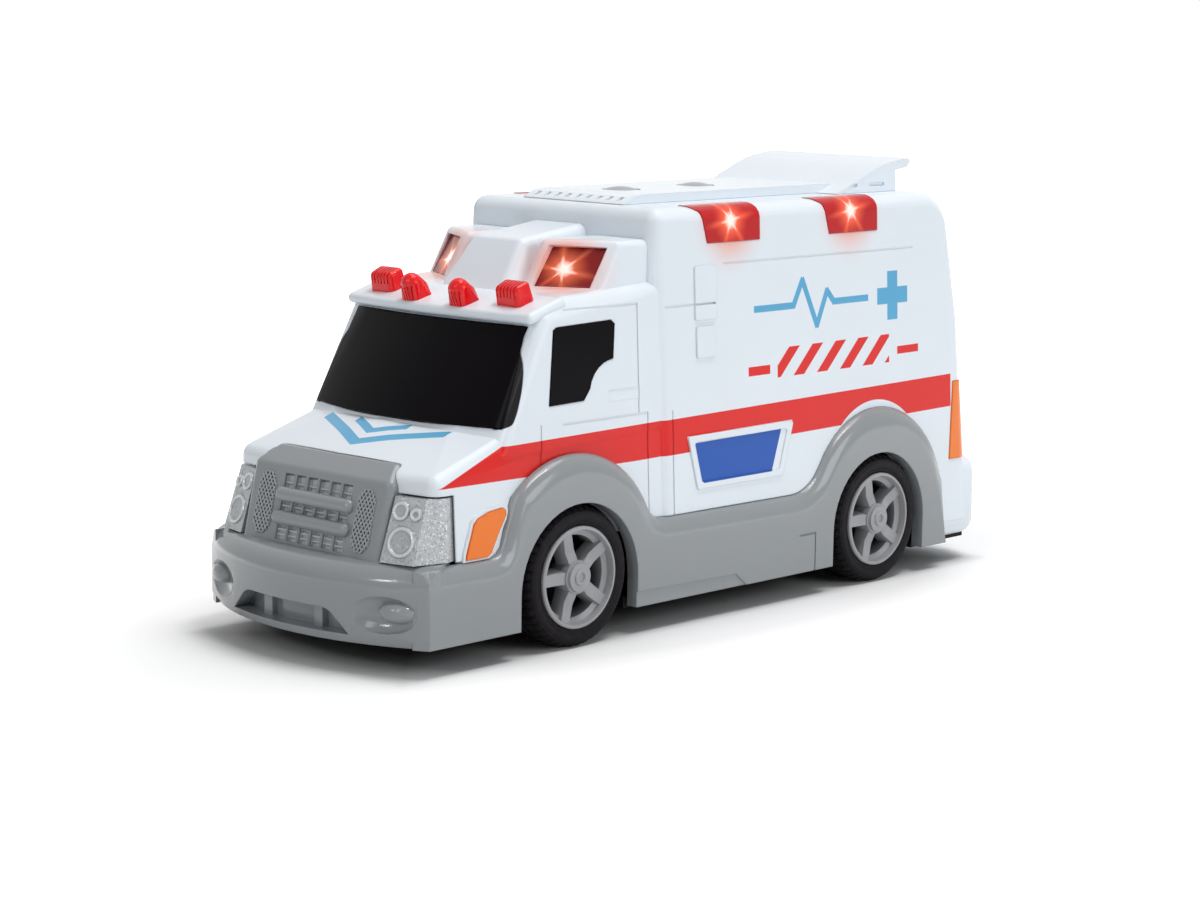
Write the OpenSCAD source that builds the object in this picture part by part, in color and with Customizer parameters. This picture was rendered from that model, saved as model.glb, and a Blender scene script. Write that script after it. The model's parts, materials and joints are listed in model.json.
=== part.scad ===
// Toy ambulance with lights and sound, about 15 cm long.
// +X points forward, +Y to the vehicle's left and +Z up.
// The origin lies on the ground under the middle of the toy. All sizes are in millimetres.

/* [Wheels] */
// Front axle line ahead of the middle
front_axle_x = 35.3; // [34:0.1:36.5]
// Distance between the two axle lines
wheelbase = 75.9; // [74:0.1:77]
// Outer radius of a tyre, which is also the height of the axles
tyre_r = 11.3; // [10.6:0.1:11.5]
// Width of a tyre
tyre_w = 7.4; // [6.4:0.1:7.8]
// Radius of a rim at its lip
rim_r = 8.2; // [7.4:0.1:8.6]
// Number of spokes on a rim
spokes = 5; // [4:1:7]
// Radius of the steel axles
axle_r = 1.25; // [1:0.05:1.5]

/* [Grey lower body] */
// Width across the skirts
skirt_w = 51.2; // [50.6:0.1:52.4]
// Lower edge of the skirts above the ground
skirt_low = 4.6; // [4.2:0.1:5.4]
// Top of the skirts between the wheels
skirt_top = 18.1; // [17.6:0.1:18.8]
// Top edge of the bumper and of the front fender
bumper_top = 16.6; // [16:0.1:17.2]
// Overhang of the bumper ahead of the front axle
front_overhang = 39.9; // [39.4:0.1:41]
// Radius of the bumper's curve in plan
bumper_r = 50; // [47:0.5:54]
// Length of the skirts behind the rear axle
skirt_tail = 19.6; // [19.2:0.1:20]
// Outer radius of the front arch
front_arch_r = 19; // [18.8:0.1:19.3]
// Outer radius of the rear arch
rear_arch_r = 18.9; // [18.6:0.1:19.1]
// Width of the rounded shoulder along the top of the arches and skirts
shoulder = 3.2; // [2.2:0.1:3.6]
// Room for a headlight beside the grille block
lamp_room = 8; // [7.7:0.1:8.4]
// Top of the grille's face
grille_top = 29.2; // [28.8:0.1:29.6]

/* [White shell] */
// Inset of the white sides from the skirts, where the sides start
sill_inset = 1.6; // [1.4:0.1:1.8]
// Lean of the sides towards the roof, in degrees
side_lean = 2.55; // [2:0.05:3]
// Wall thickness of the shell
wall = 1.6; // [1.3:0.1:1.8]
// Radius of the box's edges
edge_r = 2.6; // [2.2:0.1:3]
// Overhang of the patient box behind the rear axle
box_overhang = 27.8; // [27.2:0.1:28.4]
// Height of the box roof
roof_z = 68.1; // [67.4:0.1:69.4]
// Step from the box side in to the cab side
cab_step = 0.5; // [0.3:0.1:0.8]
// Length of the bumper step behind the box
step_len = 6.8; // [6.2:0.1:7.6]
// Top of the bumper step
step_top = 19.4; // [18.6:0.1:20]

/* [Cab] */
// Length of the hood from its nose to the foot of the windscreen
hood_len = 15.4; // [14.8:0.1:16]
// Distance from the windscreen's top back to the box
cab_len = 26.4; // [25.8:0.1:27]
// Height of the windscreen's foot
cowl_z = 35.9; // [35.2:0.1:36.6]
// Distance by which the windscreen's top lies behind its foot
screen_run = 7.7; // [7.2:0.1:8.2]
// Height of the windscreen's top
header_z = 50.9; // [50.2:0.1:51.6]
// Forward bow of the windscreen's foot
cowl_bow = 4; // [3:0.1:5]
// Forward bow of the windscreen's top
header_bow = 1.5; // [1:0.1:2.2]
// Height of the cab roof at the box
cab_roof = 56.6; // [56:0.1:57.4]
// Distance from the bumper's nose back to the hood's shoulders
hood_set = 10.4; // [10:0.1:10.8]
// Height of the hood's shoulders at the front
hood_nose_z = 30.5; // [30:0.1:31]

/* [Roof] */
// Distance of the raised roof panel in from the sills
panel_inset = 12.5; // [11:0.1:13.5]
// Height of the roof panel above the roof
panel_h = 1.5; // [1.2:0.1:1.9]
// Distance of the spoiler's ends in from the sills
spoiler_inset = 8; // [6.5:0.1:10]
// Height of the spoiler's trailing edge above the roof
spoiler_h = 5.7; // [4.8:0.1:6.6]
// Radius of the two roof buttons
button_r = 3; // [2.6:0.1:3.3]
// Travel of the roof buttons
button_travel = 1; // [0.6:0.1:1.2]
// Distance of the front button behind the front of the box
button_set = 15.1; // [14.2:0.1:16]
// Distance between the two buttons
button_pitch = 18.9; // [18:0.1:20]

/* [Tailgate] */
// Width of the frame beside the tailgate
tail_frame = 6.5; // [6.3:0.1:7.5]
// Height of the tailgate's lower edge
tailgate_low = 27.4; // [27:0.1:28.4]
// Height of the tailgate's hinge line
hinge_z = 59.2; // [58.8:0.1:59.8]
// Thickness of the tailgate
tailgate_t = 1.8; // [1.6:0.1:2]

/* [Fits] */
// Gap round pieces that move
move_gap = 0.35; // [0.3:0.05:0.45]
// Gap round pieces that are pressed or glued in
seat_gap = 0.06; // [0.05:0.01:0.1]
// Radial running clearance of an axle
run_gap = 0.05; // [0.03:0.01:0.08]

/* [Hidden] */
$fn = 48;

white = "#eef1f6";
grey = "#8f9699";
dark = "#33363a";
black = "#17161a";
red = "#d8231f";
amber = "#f58220";
silver = "#b9bcc0";

rear_axle_x = front_axle_x - wheelbase;
axle_z = tyre_r;
skirt_y = skirt_w / 2;
sill_half_w = skirt_y - sill_inset;
sill_z = 17;
bumper_nose = front_axle_x + front_overhang;
hood_nose = bumper_nose - hood_set;
cowl_x = hood_nose - hood_len;
header_x = cowl_x - screen_run;
box_front = header_x - cab_len;
box_rear = rear_axle_x - box_overhang;
skirt_rear = rear_axle_x - skirt_tail;
step_rear = box_rear - step_len;
grille_half_w = sill_half_w - lamp_room;
panel_half_w = sill_half_w - panel_inset;
spoiler_half_w = sill_half_w - spoiler_inset;
button_x = box_front - button_set;
tail_half = sill_half_w - tail_frame;
// Inner face of the grey skirts, which lie in a shallow recess of the white shell
skirt_in = sill_half_w - 0.8;
shell_foot = 8;
front_foot = bumper_top + 0.3;
ball_fn = 20;
small_fn = 12;

// Shared shapes

function side_y(z) = sill_half_w - (z - sill_z) * tan(side_lean);
function cab_y(z) = side_y(z) - cab_step;

// Points of an arc in a plane
function arc(c, r, a0, a1, n) =
    [for (i = [0:n]) let (a = a0 + (a1 - a0) * i / n) c + r * [cos(a), sin(a)]];

// Solid through a list of rings with the same number of points
module loft(rings) {
    n = len(rings[0]);
    m = len(rings);
    sides = [for (k = [0:m - 2], i = [0:n - 1]) each
        let (a = k * n + i, b = k * n + (i + 1) % n, c = b + n, d = a + n) [[a, b, c], [a, c, d]]];
    caps = [[for (i = [n - 1:-1:0]) i], [for (i = [0:n - 1]) (m - 1) * n + i]];
    polyhedron([for (r = rings) each r], concat(sides, caps), convexity = 8);
}

module both_sides() {
    children();
    mirror([0, 1, 0]) children();
}

module ball(p, r) {
    translate(p) sphere(r, $fn = r < 1.1 ? small_fn : ball_fn);
}

// A profile in X and Z, drawn out along Y from y0 to y1
module along_y(y0, y1) {
    translate([0, y1, 0]) rotate([90, 0, 0]) linear_extrude(y1 - y0) children();
}

// White shell: outer forms, grown by g

rear_bend_z = 44;
rear_top_z = 60;
rear_bend_x = box_rear + 1.8;
rear_top_x = box_rear + 5.6;
roof_rear_x = box_rear + 12.6;
function rear_x(z) = z < rear_bend_z
    ? box_rear + (rear_bend_x - box_rear) * (z - sill_z) / (rear_bend_z - sill_z)
    : rear_bend_x + (rear_top_x - rear_bend_x) * (z - rear_bend_z) / (rear_top_z - rear_bend_z);

module box_form(g = 0) {
    r = edge_r;
    turn = arc([roof_rear_x, rear_top_z], roof_z - rear_top_z - r, 90, 160, 3);
    corners = concat(
        [[box_front - r, roof_z - r], [box_front - r, 2], [rear_x(2) + r, 2], [rear_bend_x + r, rear_bend_z],
         [rear_top_x + r, rear_top_z]],
        turn);
    hull() for (c = corners) both_sides() ball([c[0], side_y(c[1]) - r, c[1]], r + g);
}

// The cab's upper part, with the bowed windscreen face
pillar_r = 2.1;
screen_lean = atan2(cowl_x - header_x, header_z - cowl_z);
screen_low_z = cowl_z - 3;
screen_half_low = cab_y(cowl_z) - 0.9;
screen_half_top = cab_y(header_z) - 1.7;
function screen_x(z) = cowl_x + (cowl_z - z) * tan(screen_lean);
function screen_bow(z) = header_bow + (cowl_bow - header_bow) * (header_z - z) / (header_z - cowl_z);

module greenhouse_form(g = 0) {
    r = pillar_r;
    back = [cos(screen_lean), 0, sin(screen_lean)] * r;
    hull() {
        for (t = [-1, -0.6, 0, 0.6, 1]) {
            for (z = [screen_low_z, header_z + 1.2])
                ball([screen_x(z) + screen_bow(z) * (1 - t * t), t * (cab_y(z) - r + 0.3), z] - back, r + g);
        }
        both_sides() {
            ball([header_x - 7, cab_y(55) - r - 0.4, cab_roof - 1.4 - r], r + g);
            ball([box_front - 3, cab_y(cab_roof) - r, cab_roof - r], r + g);
            ball([box_front - 3, cab_y(screen_low_z) - r, screen_low_z], r + g);
        }
    }
}

// Hood, fenders and the lower part of the cab
hood_r = 2.2;
nose_bow = 2;
module front_form(g = 0) {
    r = hood_r;
    hull() {
        for (t = [-1, -0.6, 0, 0.6, 1]) {
            ball([hood_nose - r + nose_bow * (1 - t * t), t * (cab_y(hood_nose_z) - r + 0.2),
                hood_nose_z - r], r + g);
            ball([cowl_x + 0.6 + cowl_bow * (1 - t * t) - r, t * (cab_y(cowl_z) - r - 0.2),
                cowl_z - 0.6 - r + 0.8 * (1 - t * t)], r + g);
        }
        both_sides() {
            ball([hood_nose - r, cab_y(4) - r, 4], r + g);
            ball([box_front - 3, cab_y(4) - r, 4], r + g);
            ball([box_front - 3, cab_y(cowl_z) - r, cowl_z - r], r + g);
        }
    }
}

// White bumper step under the tailgate
step_r = 3.2;
module step_form(g = 0) {
    r = step_r;
    hull() both_sides() for (z = [skirt_low + r, step_top - r]) {
        ball([skirt_rear + r - 2, sill_half_w - r, z], r + g);
        ball([step_rear + r + 3, sill_half_w - r, z], r + g);
        ball([step_rear + r, sill_half_w - r - 5, z], r + g);
    }
}

// Air deflector in the middle of the cab roof
defl_r = 1.8;
defl_half = 6.6;
defl_top = roof_z - 2.9;
defl_crest_x = header_x - 11.4;
defl_foot_x = header_x - 4.2;
module deflector_form(g = 0) {
    r = defl_r;
    hull() both_sides() {
        ball([box_front - 3, defl_half - r, defl_top - r], r + g);
        ball([defl_crest_x - r, defl_half - 0.2 - r, defl_top - 2.1 - r], r + g);
        ball([defl_foot_x - r, defl_half + 1.6 - r, cab_roof - 3.2 - r], r + g);
        ball([box_front - 3, defl_half + 2.4 - r, cab_roof - 3], r + g);
        ball([defl_crest_x, defl_half + 2 - r, cab_roof - 3], r + g);
    }
}

// Lamp pod beside the deflector on the left; its front is cut back towards the outside
pod_r = 1.3;
pod_top = defl_top - 2;
pod_in = 9.2;
pod_out = sill_half_w - 4;
pod_tip = header_x - 13.4;
pod_back = 5.8;
pod_rake = 4.6;
module pod_form(g = 0) {
    r = pod_r;
    hull() {
        for (z = [pod_top - r, cab_roof - 3]) ball([box_front - 3, pod_in, z], r + g);
        for (z = [pod_top - r, cab_roof - 3]) ball([box_front - 3, pod_out - r, z], r + g);
        ball([pod_tip - r, pod_in, pod_top - r], r + g);
        ball([pod_tip + pod_rake - r, pod_in, cab_roof - 2.5], r + g);
        ball([pod_tip - pod_back - r, pod_out - r, pod_top - r], r + g);
        ball([pod_tip - pod_back + pod_rake - r, pod_out - r, cab_roof - 2.5], r + g);
    }
}

// Red beacon lens, seen in the pod's open front
lens_z0 = cab_roof - 0.7;
lens_z1 = pod_top - 1.3;
lens_y0 = defl_half + 3.6;
lens_y1 = pod_out - 1.8;
lens_back = box_front + 3.4;
// The lens stands back from the pod's front, at the end of a flared opening
lens_set = 1.9;
lens_flare = 0.9;
function lens_plan(shift, g) = [[lens_back - g, lens_y0 - g], [pod_tip + shift + g - lens_set, lens_y0 - g],
    [pod_tip - pod_back + shift + g - lens_set + 1.4, lens_y1 + g], [lens_back - g, lens_y1 + g]];
module lens_form(g = 0) {
    low = lens_plan(pod_rake, g);
    high = lens_plan(0.4, g);
    loft([[for (p = high) [p[0], p[1], lens_z1 + g]], [for (p = low) [p[0], p[1], lens_z0 - g]]]);
}
module lens_opening() {
    f = lens_flare;
    hull() for (p = [[lens_y0, lens_z0, pod_rake, 0], [lens_y0, lens_z1, 0.4, 0],
            [lens_y1, lens_z0, pod_rake, pod_back - 1.4], [lens_y1, lens_z1, 0.4, pod_back - 1.4]]) {
        x = pod_tip + p[2] - p[3] - lens_set - 0.1;
        out = [p[0] < pod_in + 4 ? 0 : f, p[1] > lens_z0 ? f : 0];
        translate([x, p[0] - 0.01, p[1] - 0.01]) cube(0.02);
        translate([x + lens_set + 0.8, p[0] + out[0] - 0.01, p[1] + out[1] - 0.01]) cube(0.02);
    }
}

// Outline of the grey skirt's upper edge, from the bumper to the rear
front_arch_c = [front_axle_x + 0.2, axle_z + 0.6];
rear_arch_c = [rear_axle_x - 0.6, axle_z + 0.75];

// A path without its two ends
function inner(path) = [for (i = [1:len(path) - 2]) path[i]];

// Angle on an arch at which a fillet of radius f runs out into a ledge at height h
function fillet_x(c, r, h, f) = sqrt(pow(r + f, 2) - pow(h + f - c[1], 2));
function fillet_a(c, r, h, f) = atan2(h + f - c[1], fillet_x(c, r, h, f));

// The front flank drops more steeply than the round arch behind the front signal
flank_a = 45;
front_fillet = 4.5;
rear_fillet = 9;
// The rear arch runs down into the upright rear end of the skirt
tail_turn = 0.9;
tail_a = acos((skirt_rear + tail_turn - rear_arch_c[0]) / rear_arch_r);
tail_z = rear_arch_c[1] + rear_arch_r * sin(tail_a);

front_a = fillet_a(front_arch_c, front_arch_r, skirt_top, front_fillet);
rear_a = fillet_a(rear_arch_c, rear_arch_r, skirt_top, rear_fillet);
skirt_edge = concat([[bumper_nose + 2, bumper_top]],
    [for (p = [[18.6, 0], [16.9, 0.45], [15.9, 1.5], [15, 4.2]]) [front_arch_c[0] + p[0], bumper_top + p[1]]],
    arc(front_arch_c, front_arch_r, flank_a, 180 - front_a, 18),
    inner(arc([front_arch_c[0] - fillet_x(front_arch_c, front_arch_r, skirt_top, front_fillet),
        skirt_top + front_fillet],
        front_fillet, -front_a, -90, 4)),
    arc([rear_arch_c[0] + fillet_x(rear_arch_c, rear_arch_r, skirt_top, rear_fillet),
        skirt_top + rear_fillet],
        rear_fillet, 270, 180 + rear_a, 5),
    inner(arc(rear_arch_c, rear_arch_r, rear_a, tail_a, 20)),
    [[skirt_rear + tail_turn, tail_z], [skirt_rear + 0.25, tail_z - 1.1], [skirt_rear, tail_z - 2.4]]);

// The same edge moved d into the grey
function inset(path, d) = [for (i = [0:len(path) - 1]) let (
    a = path[max(i - 1, 0)], b = path[min(i + 1, len(path) - 1)], t = (b - a) / norm(b - a))
    path[i] + d * [-t[1], t[0]]];

function skirt_ring(d, y) = [for (p = concat(inset(skirt_edge, d),
    [[skirt_rear, skirt_low], [bumper_nose + 2, skirt_low]])) [p[0], y, p[1]]];

// One grey side: flat outside, with a rounded shoulder down to the white
module skirt_skin() {
    base = side_y(skirt_top + 8) - 0.1;
    turn = [for (a = [0:18:90]) [shoulder * (1 - cos(a)), base + (skirt_y - base) * sin(a)]];
    loft([for (s = concat([[0, skirt_in]], turn)) skirt_ring(s[0], s[1])]);
}

// Recess for it in the white shell
module skirt_recess() {
    loft([for (y = [skirt_in - seat_gap, skirt_y + 5]) skirt_ring(-seat_gap, y)]);
}

// Opening round a wheel, through everything between y0 and y1
wheel_gap_top = 0.65;
module wheel_opening(x, gap, y0, y1) {
    r = tyre_r + gap;
    z = axle_z + tyre_r + wheel_gap_top - r;
    translate([x, y0, z]) rotate([-90, 0, 0]) cylinder(r = r, h = y1 - y0);
    translate([x - r, y0, -1]) cube([2 * r, y1 - y0, z + 1]);
}
front_gap = 1.9;
rear_gap = 1.4;
module wheel_openings(extra, y0, y1) {
    both_sides() {
        wheel_opening(front_axle_x + 0.1, front_gap + extra, y0, y1);
        wheel_opening(rear_axle_x + 0.3, rear_gap + extra, y0, y1);
    }
}

// Grey lower body

bumper_c = bumper_nose - bumper_r;
bumper_wall = 5;
bumper_sweep = 2 * asin((skirt_y + 1) / bumper_r);
bumper_lip = 3.4;

// Places children on the bumper's face at the distance y from the middle
module on_bumper(y, z) {
    translate([bumper_c, 0, z]) rotate([0, 0, asin(y / bumper_r)]) translate([bumper_r, 0, 0]) children();
}

module bumper_bar() {
    low = skirt_low + 0.08;
    profile = concat([[bumper_r - bumper_wall, low], [bumper_r - 0.9, low], [bumper_r, low + 1.4]],
        arc([bumper_r - bumper_lip, bumper_top + 0.4 - bumper_lip], bumper_lip, 0, 90, 5),
        [[bumper_r - bumper_wall - 3, bumper_top + 0.4], [bumper_r - bumper_wall - 3, bumper_top - 2]]);
    intersection() {
        translate([bumper_c, 0, 0]) rotate([0, 0, -bumper_sweep / 2])
            rotate_extrude(angle = bumper_sweep, $fn = 108) polygon(profile);
        translate([0, 0.06 - skirt_y, 0]) cube([bumper_nose + 5, skirt_w - 0.12, bumper_top + 5]);
    }
}

// Wide low air intake with round upper corners and two upright bars set back in it
intake_low = skirt_low + 1.5;
intake_high = skirt_low + 5.2;
intake_half = skirt_y - 12.1;
intake_depth = 3.2;
intake_bar_y = 5.9;
intake_bar_w = 2;
module intake_cut() {
    half = concat([[intake_half, intake_low]], [for (p = [[1.9, -1.9], [3.2, -0.7], [4.2, -0.2], [5.2, 0]])
        [intake_half - p[0], intake_high + p[1]]]);
    difference() {
        translate([bumper_nose - 9, 0, 0]) rotate([90, 0, 90]) linear_extrude(20)
            polygon(concat(half, [for (i = [len(half) - 1:-1:0]) [-half[i][0], half[i][1]]]));
        translate([bumper_c, 0, 0]) cylinder(r = bumper_r - intake_depth, h = bumper_top, $fn = 108);
    }
}
module intake_bar() {
    translate([bumper_nose - intake_depth - 1.4, intake_bar_y - intake_bar_w / 2, intake_low - 0.3])
        cube([2.2, intake_bar_w, intake_high - intake_low + 0.6]);
}

// Fog lamp bulge in a soft hollow at each end of the bumper
fog_y = skirt_y - 4.6;
fog_z = skirt_low + 5.5;
module fog_hollow() {
    on_bumper(fog_y - 1.9, fog_z - 0.5) translate([0.5, 0, 0]) scale([1.8, 6.3, 3]) sphere(1, $fn = 28);
}
module fog_bulge() {
    on_bumper(fog_y, fog_z) translate([-0.9, 0, 0]) scale([1.7, 3.2, 1.6]) sphere(1, $fn = 28);
}

// Grille block, leaning back over the bumper
grille_x = bumper_nose - 4.9;
grille_foot = bumper_top + 0.4;
grille_lean = 14;
grille_r = 1.2;
grille_back = hood_nose - 3.4;
module grille_block(g = 0) {
    r = grille_r;
    w = grille_half_w - r;
    hull() both_sides() {
        ball([grille_x - r, w, grille_foot - 2], r + g);
        ball([grille_x - (grille_top - grille_foot) * tan(grille_lean) - r, w, grille_top - r], r + g);
        ball([hood_nose - 0.2 - r, w - 1.6, grille_top + 1.9 - r], r + g);
        ball([grille_back, w - 1.6, grille_top - r], r + g);
        ball([grille_back, w, grille_foot - 2], r + g);
    }
}

// Grille pattern, drawn in the plane of the leaning face
grille_span = grille_half_w - 8.1;
slot_count = 6;
slot_web = 0.55;
slot_depth = 1.3;
bar_half = grille_half_w - 7.1;
bar_h = 2.3;
slot_rows = [[0.5, 2.9], [5, 6.6], [8.7, 10.9]];
bar_rows = [3.95, 7.6];
rib_rows = [1.3, 2.1, 5.8, 9.5];
mesh_y = grille_half_w - 4.4;
mesh_w = 3.3;
mesh_low = 0.9;
mesh_high = 10.8;
module on_grille() {
    translate([grille_x, 0, grille_foot]) rotate([0, -grille_lean, 0]) children();
}
module grille_cuts() {
    pitch = (2 * grille_span + slot_web) / slot_count;
    on_grille() {
        for (row = slot_rows, i = [0:slot_count - 1]) {
            y = -grille_span + pitch * i;
            hull() {
                translate([-slot_depth, y, row[0]]) cube([slot_depth + 1, pitch - slot_web, row[1] - row[0]]);
            }
        }
        both_sides() hull() for (z = [mesh_low + mesh_w / 2, mesh_high - mesh_w / 2])
            translate([-0.5, mesh_y, z]) rotate([0, 90, 0]) cylinder(d = mesh_w, h = 3, $fn = 20);
    }
}
module grille_bars() {
    on_grille() {
        for (z = bar_rows) hull() both_sides()
            translate([-0.1, bar_half - bar_h / 2, z]) scale([0.85, 1, 1]) sphere(d = bar_h, $fn = 16);
        for (z = rib_rows) translate([-slot_depth - 0.2, -grille_span - 0.3, z - 0.15])
            cube([0.7, 2 * grille_span + 0.6, 0.3]);
    }
}

// Raised line along the foot of the skirt
skirt_line_h = 2.6;
skirt_line_len = 26.8;
module skirt_line() {
    front = front_axle_x - tyre_r - front_gap - 1.2;
    rear = front - skirt_line_len;
    along_y(skirt_y - 0.25, skirt_y + 1)
        polygon([[front + 3, skirt_low - 1], [front + 3, skirt_low + skirt_line_h],
        [rear + 4, skirt_low + skirt_line_h - 0.4], [rear, skirt_low - 1]]);
}
// Thin line of a service flap ahead of the rear wheel
flap_w = 4.4;
flap_h = 6.4;
module flap_line() {
    rear = rear_axle_x + tyre_r + rear_gap + 5.1;
    along_y(skirt_y - 0.18, skirt_y + 1) {
        translate([rear, skirt_low - 1]) square([0.3, flap_h + 1]);
        translate([rear, skirt_low + flap_h]) square([flap_w, 0.3]);
    }
}

module lower_body() {
    color(grey) difference() {
        union() {
            intersection() {
                both_sides() skirt_skin();
                translate([bumper_c, 0, 0]) union() {
                    cylinder(r = bumper_r - 0.2, h = 60, $fn = 108);
                    translate([-150, -40, 0]) cube([150, 80, 60]);
                }
            }
            difference() {
                bumper_bar();
                intake_cut();
                both_sides() fog_hollow();
            }
            difference() {
                grille_block();
                grille_cuts();
            }
            grille_bars();
            both_sides() {
                intake_bar();
                fog_bulge();
            }
        }
        wheel_openings(0, skirt_in - 4, skirt_y + 4);
        both_sides() headlight_block(seat_gap);
        both_sides() skirt_line();
        both_sides() flap_line();
    }
}

// Headlight cluster

lamp_low = bumper_top + 0.5;
lamp_high = hood_nose_z - 3.6;
lamp_in = grille_half_w + 0.35;
lamp_lean = 18.5;
lamp_phi = 14;
lamp_depth = 5;
lamp_face = grille_x - 0.6;
// Plan of the cluster: inner edge, front crease and outer corner
function lamp_plan(z, g) = let (lift = (z - lamp_low) * tan(lamp_lean))
    [[hood_nose - lamp_depth - g, lamp_in - g], [lamp_face - lift + g, lamp_in - g],
     [lamp_face - 1.45 - lift + g, cab_y(z) - 1.25 + g], [hood_nose - 2.2 + g, cab_y(z) + 0.3 + g],
     [hood_nose - lamp_depth - g, cab_y(z) - 0.6 + g]];
module headlight_block(g = 0) {
    loft([for (z = [lamp_high + g, lamp_low - g]) [for (p = lamp_plan(z, g)) [p[0], p[1], z]]]);
}
// Ringed round lamp on the cluster's face
module lamp_ring(y, z, r) {
    x = lamp_face - (z - lamp_low) * tan(lamp_lean) - (y - lamp_in) * tan(lamp_phi);
    translate([x, y, z]) rotate([0, 90 - lamp_lean, lamp_phi]) {
        rotate_extrude($fn = 24) translate([r - 0.3, 0]) circle(0.36, $fn = 10);
        translate([0, 0, -2]) cylinder(r = r - 0.3, h = 2.12, $fn = 24);
    }
}
module headlight() {
    color(silver) {
        headlight_block();
        lamp_ring(lamp_in + 2.9, lamp_low + 3.2, 2.4);
        lamp_ring(lamp_in + 1.6, lamp_low + 7.7, 1.5);
        lamp_ring(lamp_in + 4.3, lamp_low + 7.4, 1.05);
    }
}
module headlight_left() {
    headlight();
}
module headlight_right() {
    mirror([0, 1, 0]) headlight();
}

// Amber lenses

// Front signal between the headlight and the arch
signal_front = hood_nose - 6;
signal_path = [[0, 0.4], [-0.1, 1.2], [-1.8, 5.7], [-2.6, 6.4], [-4.9, 7.2], [-7.9, 7.5], [-8.5, 7.1],
    [-8.5, 6.4],
    [-6.9, 3.9], [-5.2, 0.9], [-4.3, 0.4]];
module signal_outline() {
    polygon([for (p = signal_path) [signal_front + p[0], bumper_top + p[1]]]);
}
module front_signal() {
    color(amber) intersection() {
        difference() {
            front_form(0.55);
            front_form(-0.7);
        }
        along_y(15, 30) signal_outline();
    }
}
module front_signal_left() {
    front_signal();
}
module front_signal_right() {
    mirror([0, 1, 0]) front_signal();
}

// Rear signal wrapped round the box's corner
rear_signal_high = 33.6;
rear_signal_w = 4.6;
module rear_signal_volume(g = 0) {
    along_y(sill_half_w - 4.4 - g, sill_half_w + 4) polygon([
        [box_rear - 3, step_top + 0.1 - g], [box_rear + rear_signal_w + 1.2 + g, step_top + 0.1 - g],
        [box_rear + rear_signal_w + g, rear_signal_high + g], [box_rear - 3, rear_signal_high + g]]);
}
module rear_signal() {
    color(amber) intersection() {
        difference() {
            box_form(0.2);
            box_form(-0.8);
        }
        rear_signal_volume();
    }
}
module rear_signal_left() {
    rear_signal();
}
module rear_signal_right() {
    mirror([0, 1, 0]) rear_signal();
}

// Windows

screen_t = 0.7;
screen_proud = 0.45;
// Black windscreen, bowed like the cab's face, with bevelled sides
function screen_ring(t, side, out, back, rim = 0) = let (
    n = [cos(screen_lean), 0, sin(screen_lean)],
    z0 = cowl_z + rim,
    z1 = header_z - rim,
    low = [screen_x(z0) + screen_bow(z0) * (1 - t * t), t * (screen_half_low - side), z0],
    top = [screen_x(z1) + screen_bow(z1) * (1 - t * t), t * (screen_half_top - side), z1])
    [low + n * out, top + n * out, top - n * back, low - n * back];
module windscreen_form(g = 0) {
    steps = 12;
    middle = [for (i = [0:steps]) screen_ring(-1 + 2 * i / steps, 1.1 - g, screen_proud, screen_t + g, -g)];
    first = screen_ring(-1, -g, -0.3, screen_t + g, -g);
    last = screen_ring(1, -g, -0.3, screen_t + g, -g);
    loft(concat([first], middle, [last]));
}
// Hole in the shell behind it
module windscreen_hole() {
    loft([for (t = [-1:0.25:1]) screen_ring(t, 1.6, 1, 5, 1.6)]);
}
module windscreen() {
    color(black) windscreen_form();
}

// Window of the left door, with its swept lower rear corner
window_front = header_x - 2.6;
window_foot = cowl_z + 2.8;
window_w = 14.2;
sweep_r = 5.4;
module door_window_outline(d = 0) {
    r = window_front - window_w;
    offset(delta = d) polygon(concat(
        [[window_front + 1, window_foot], [window_front - 0.2, header_z - 0.5],
            [window_front - 0.9, header_z - 0.1],
         [r + 0.8, header_z + 0.2], [r, header_z - 0.4], [r + 0.5, window_foot + 6.3]],
        arc([r + 0.7, window_foot + 6.2 - sweep_r], sweep_r, 80, 12, 5), [[r + 7.4, window_foot + 0.2]]));
}
module door_window() {
    color(black) intersection() {
        difference() {
            greenhouse_form(0.12);
            greenhouse_form(-0.8);
        }
        along_y(12, 30) door_window_outline();
    }
}
module door_window_left() {
    door_window();
}
module door_window_right() {
    mirror([0, 1, 0]) door_window();
}

// Red lamps

// Marker lamps stand on the brow over the windscreen
marker_out_y = sill_half_w - 9.4;
marker_in_y = 5.5;
marker_x = header_x - 1.6;
marker_z = header_z + 3.4;
brow_lean = 20;
module marker_box(g = 0) {
    hull() for (y = [-1.8, 1.8], p = [[-1.2, -1.3], [1, -1.3], [-1.1, 1.3], [0.5, 1.2]])
        translate([p[0], y, p[1]]) sphere(0.9 + g, $fn = 12);
}
module marker_bullet(g = 0) {
    hull() {
        for (y = [-1.2, 1.2], x = [-1.6, 0.9]) translate([x, y, -1]) sphere(0.7 + g, $fn = 12);
        translate([0, 0, 1.9]) sphere(1.75 + g, $fn = 18);
        translate([-1.9, 0, 0.6]) sphere(1 + g, $fn = 12);
    }
}
// Fine upright grooves between the ribs of a lamp, down to z0
groove = 0.22;
module marker_grooves(n, pitch, z0, z1) {
    for (i = [0:n - 1]) translate([-4, (i - (n - 1) / 2) * pitch - groove / 2, z0])
        cube([8, groove, z1 - z0]);
}
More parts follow.
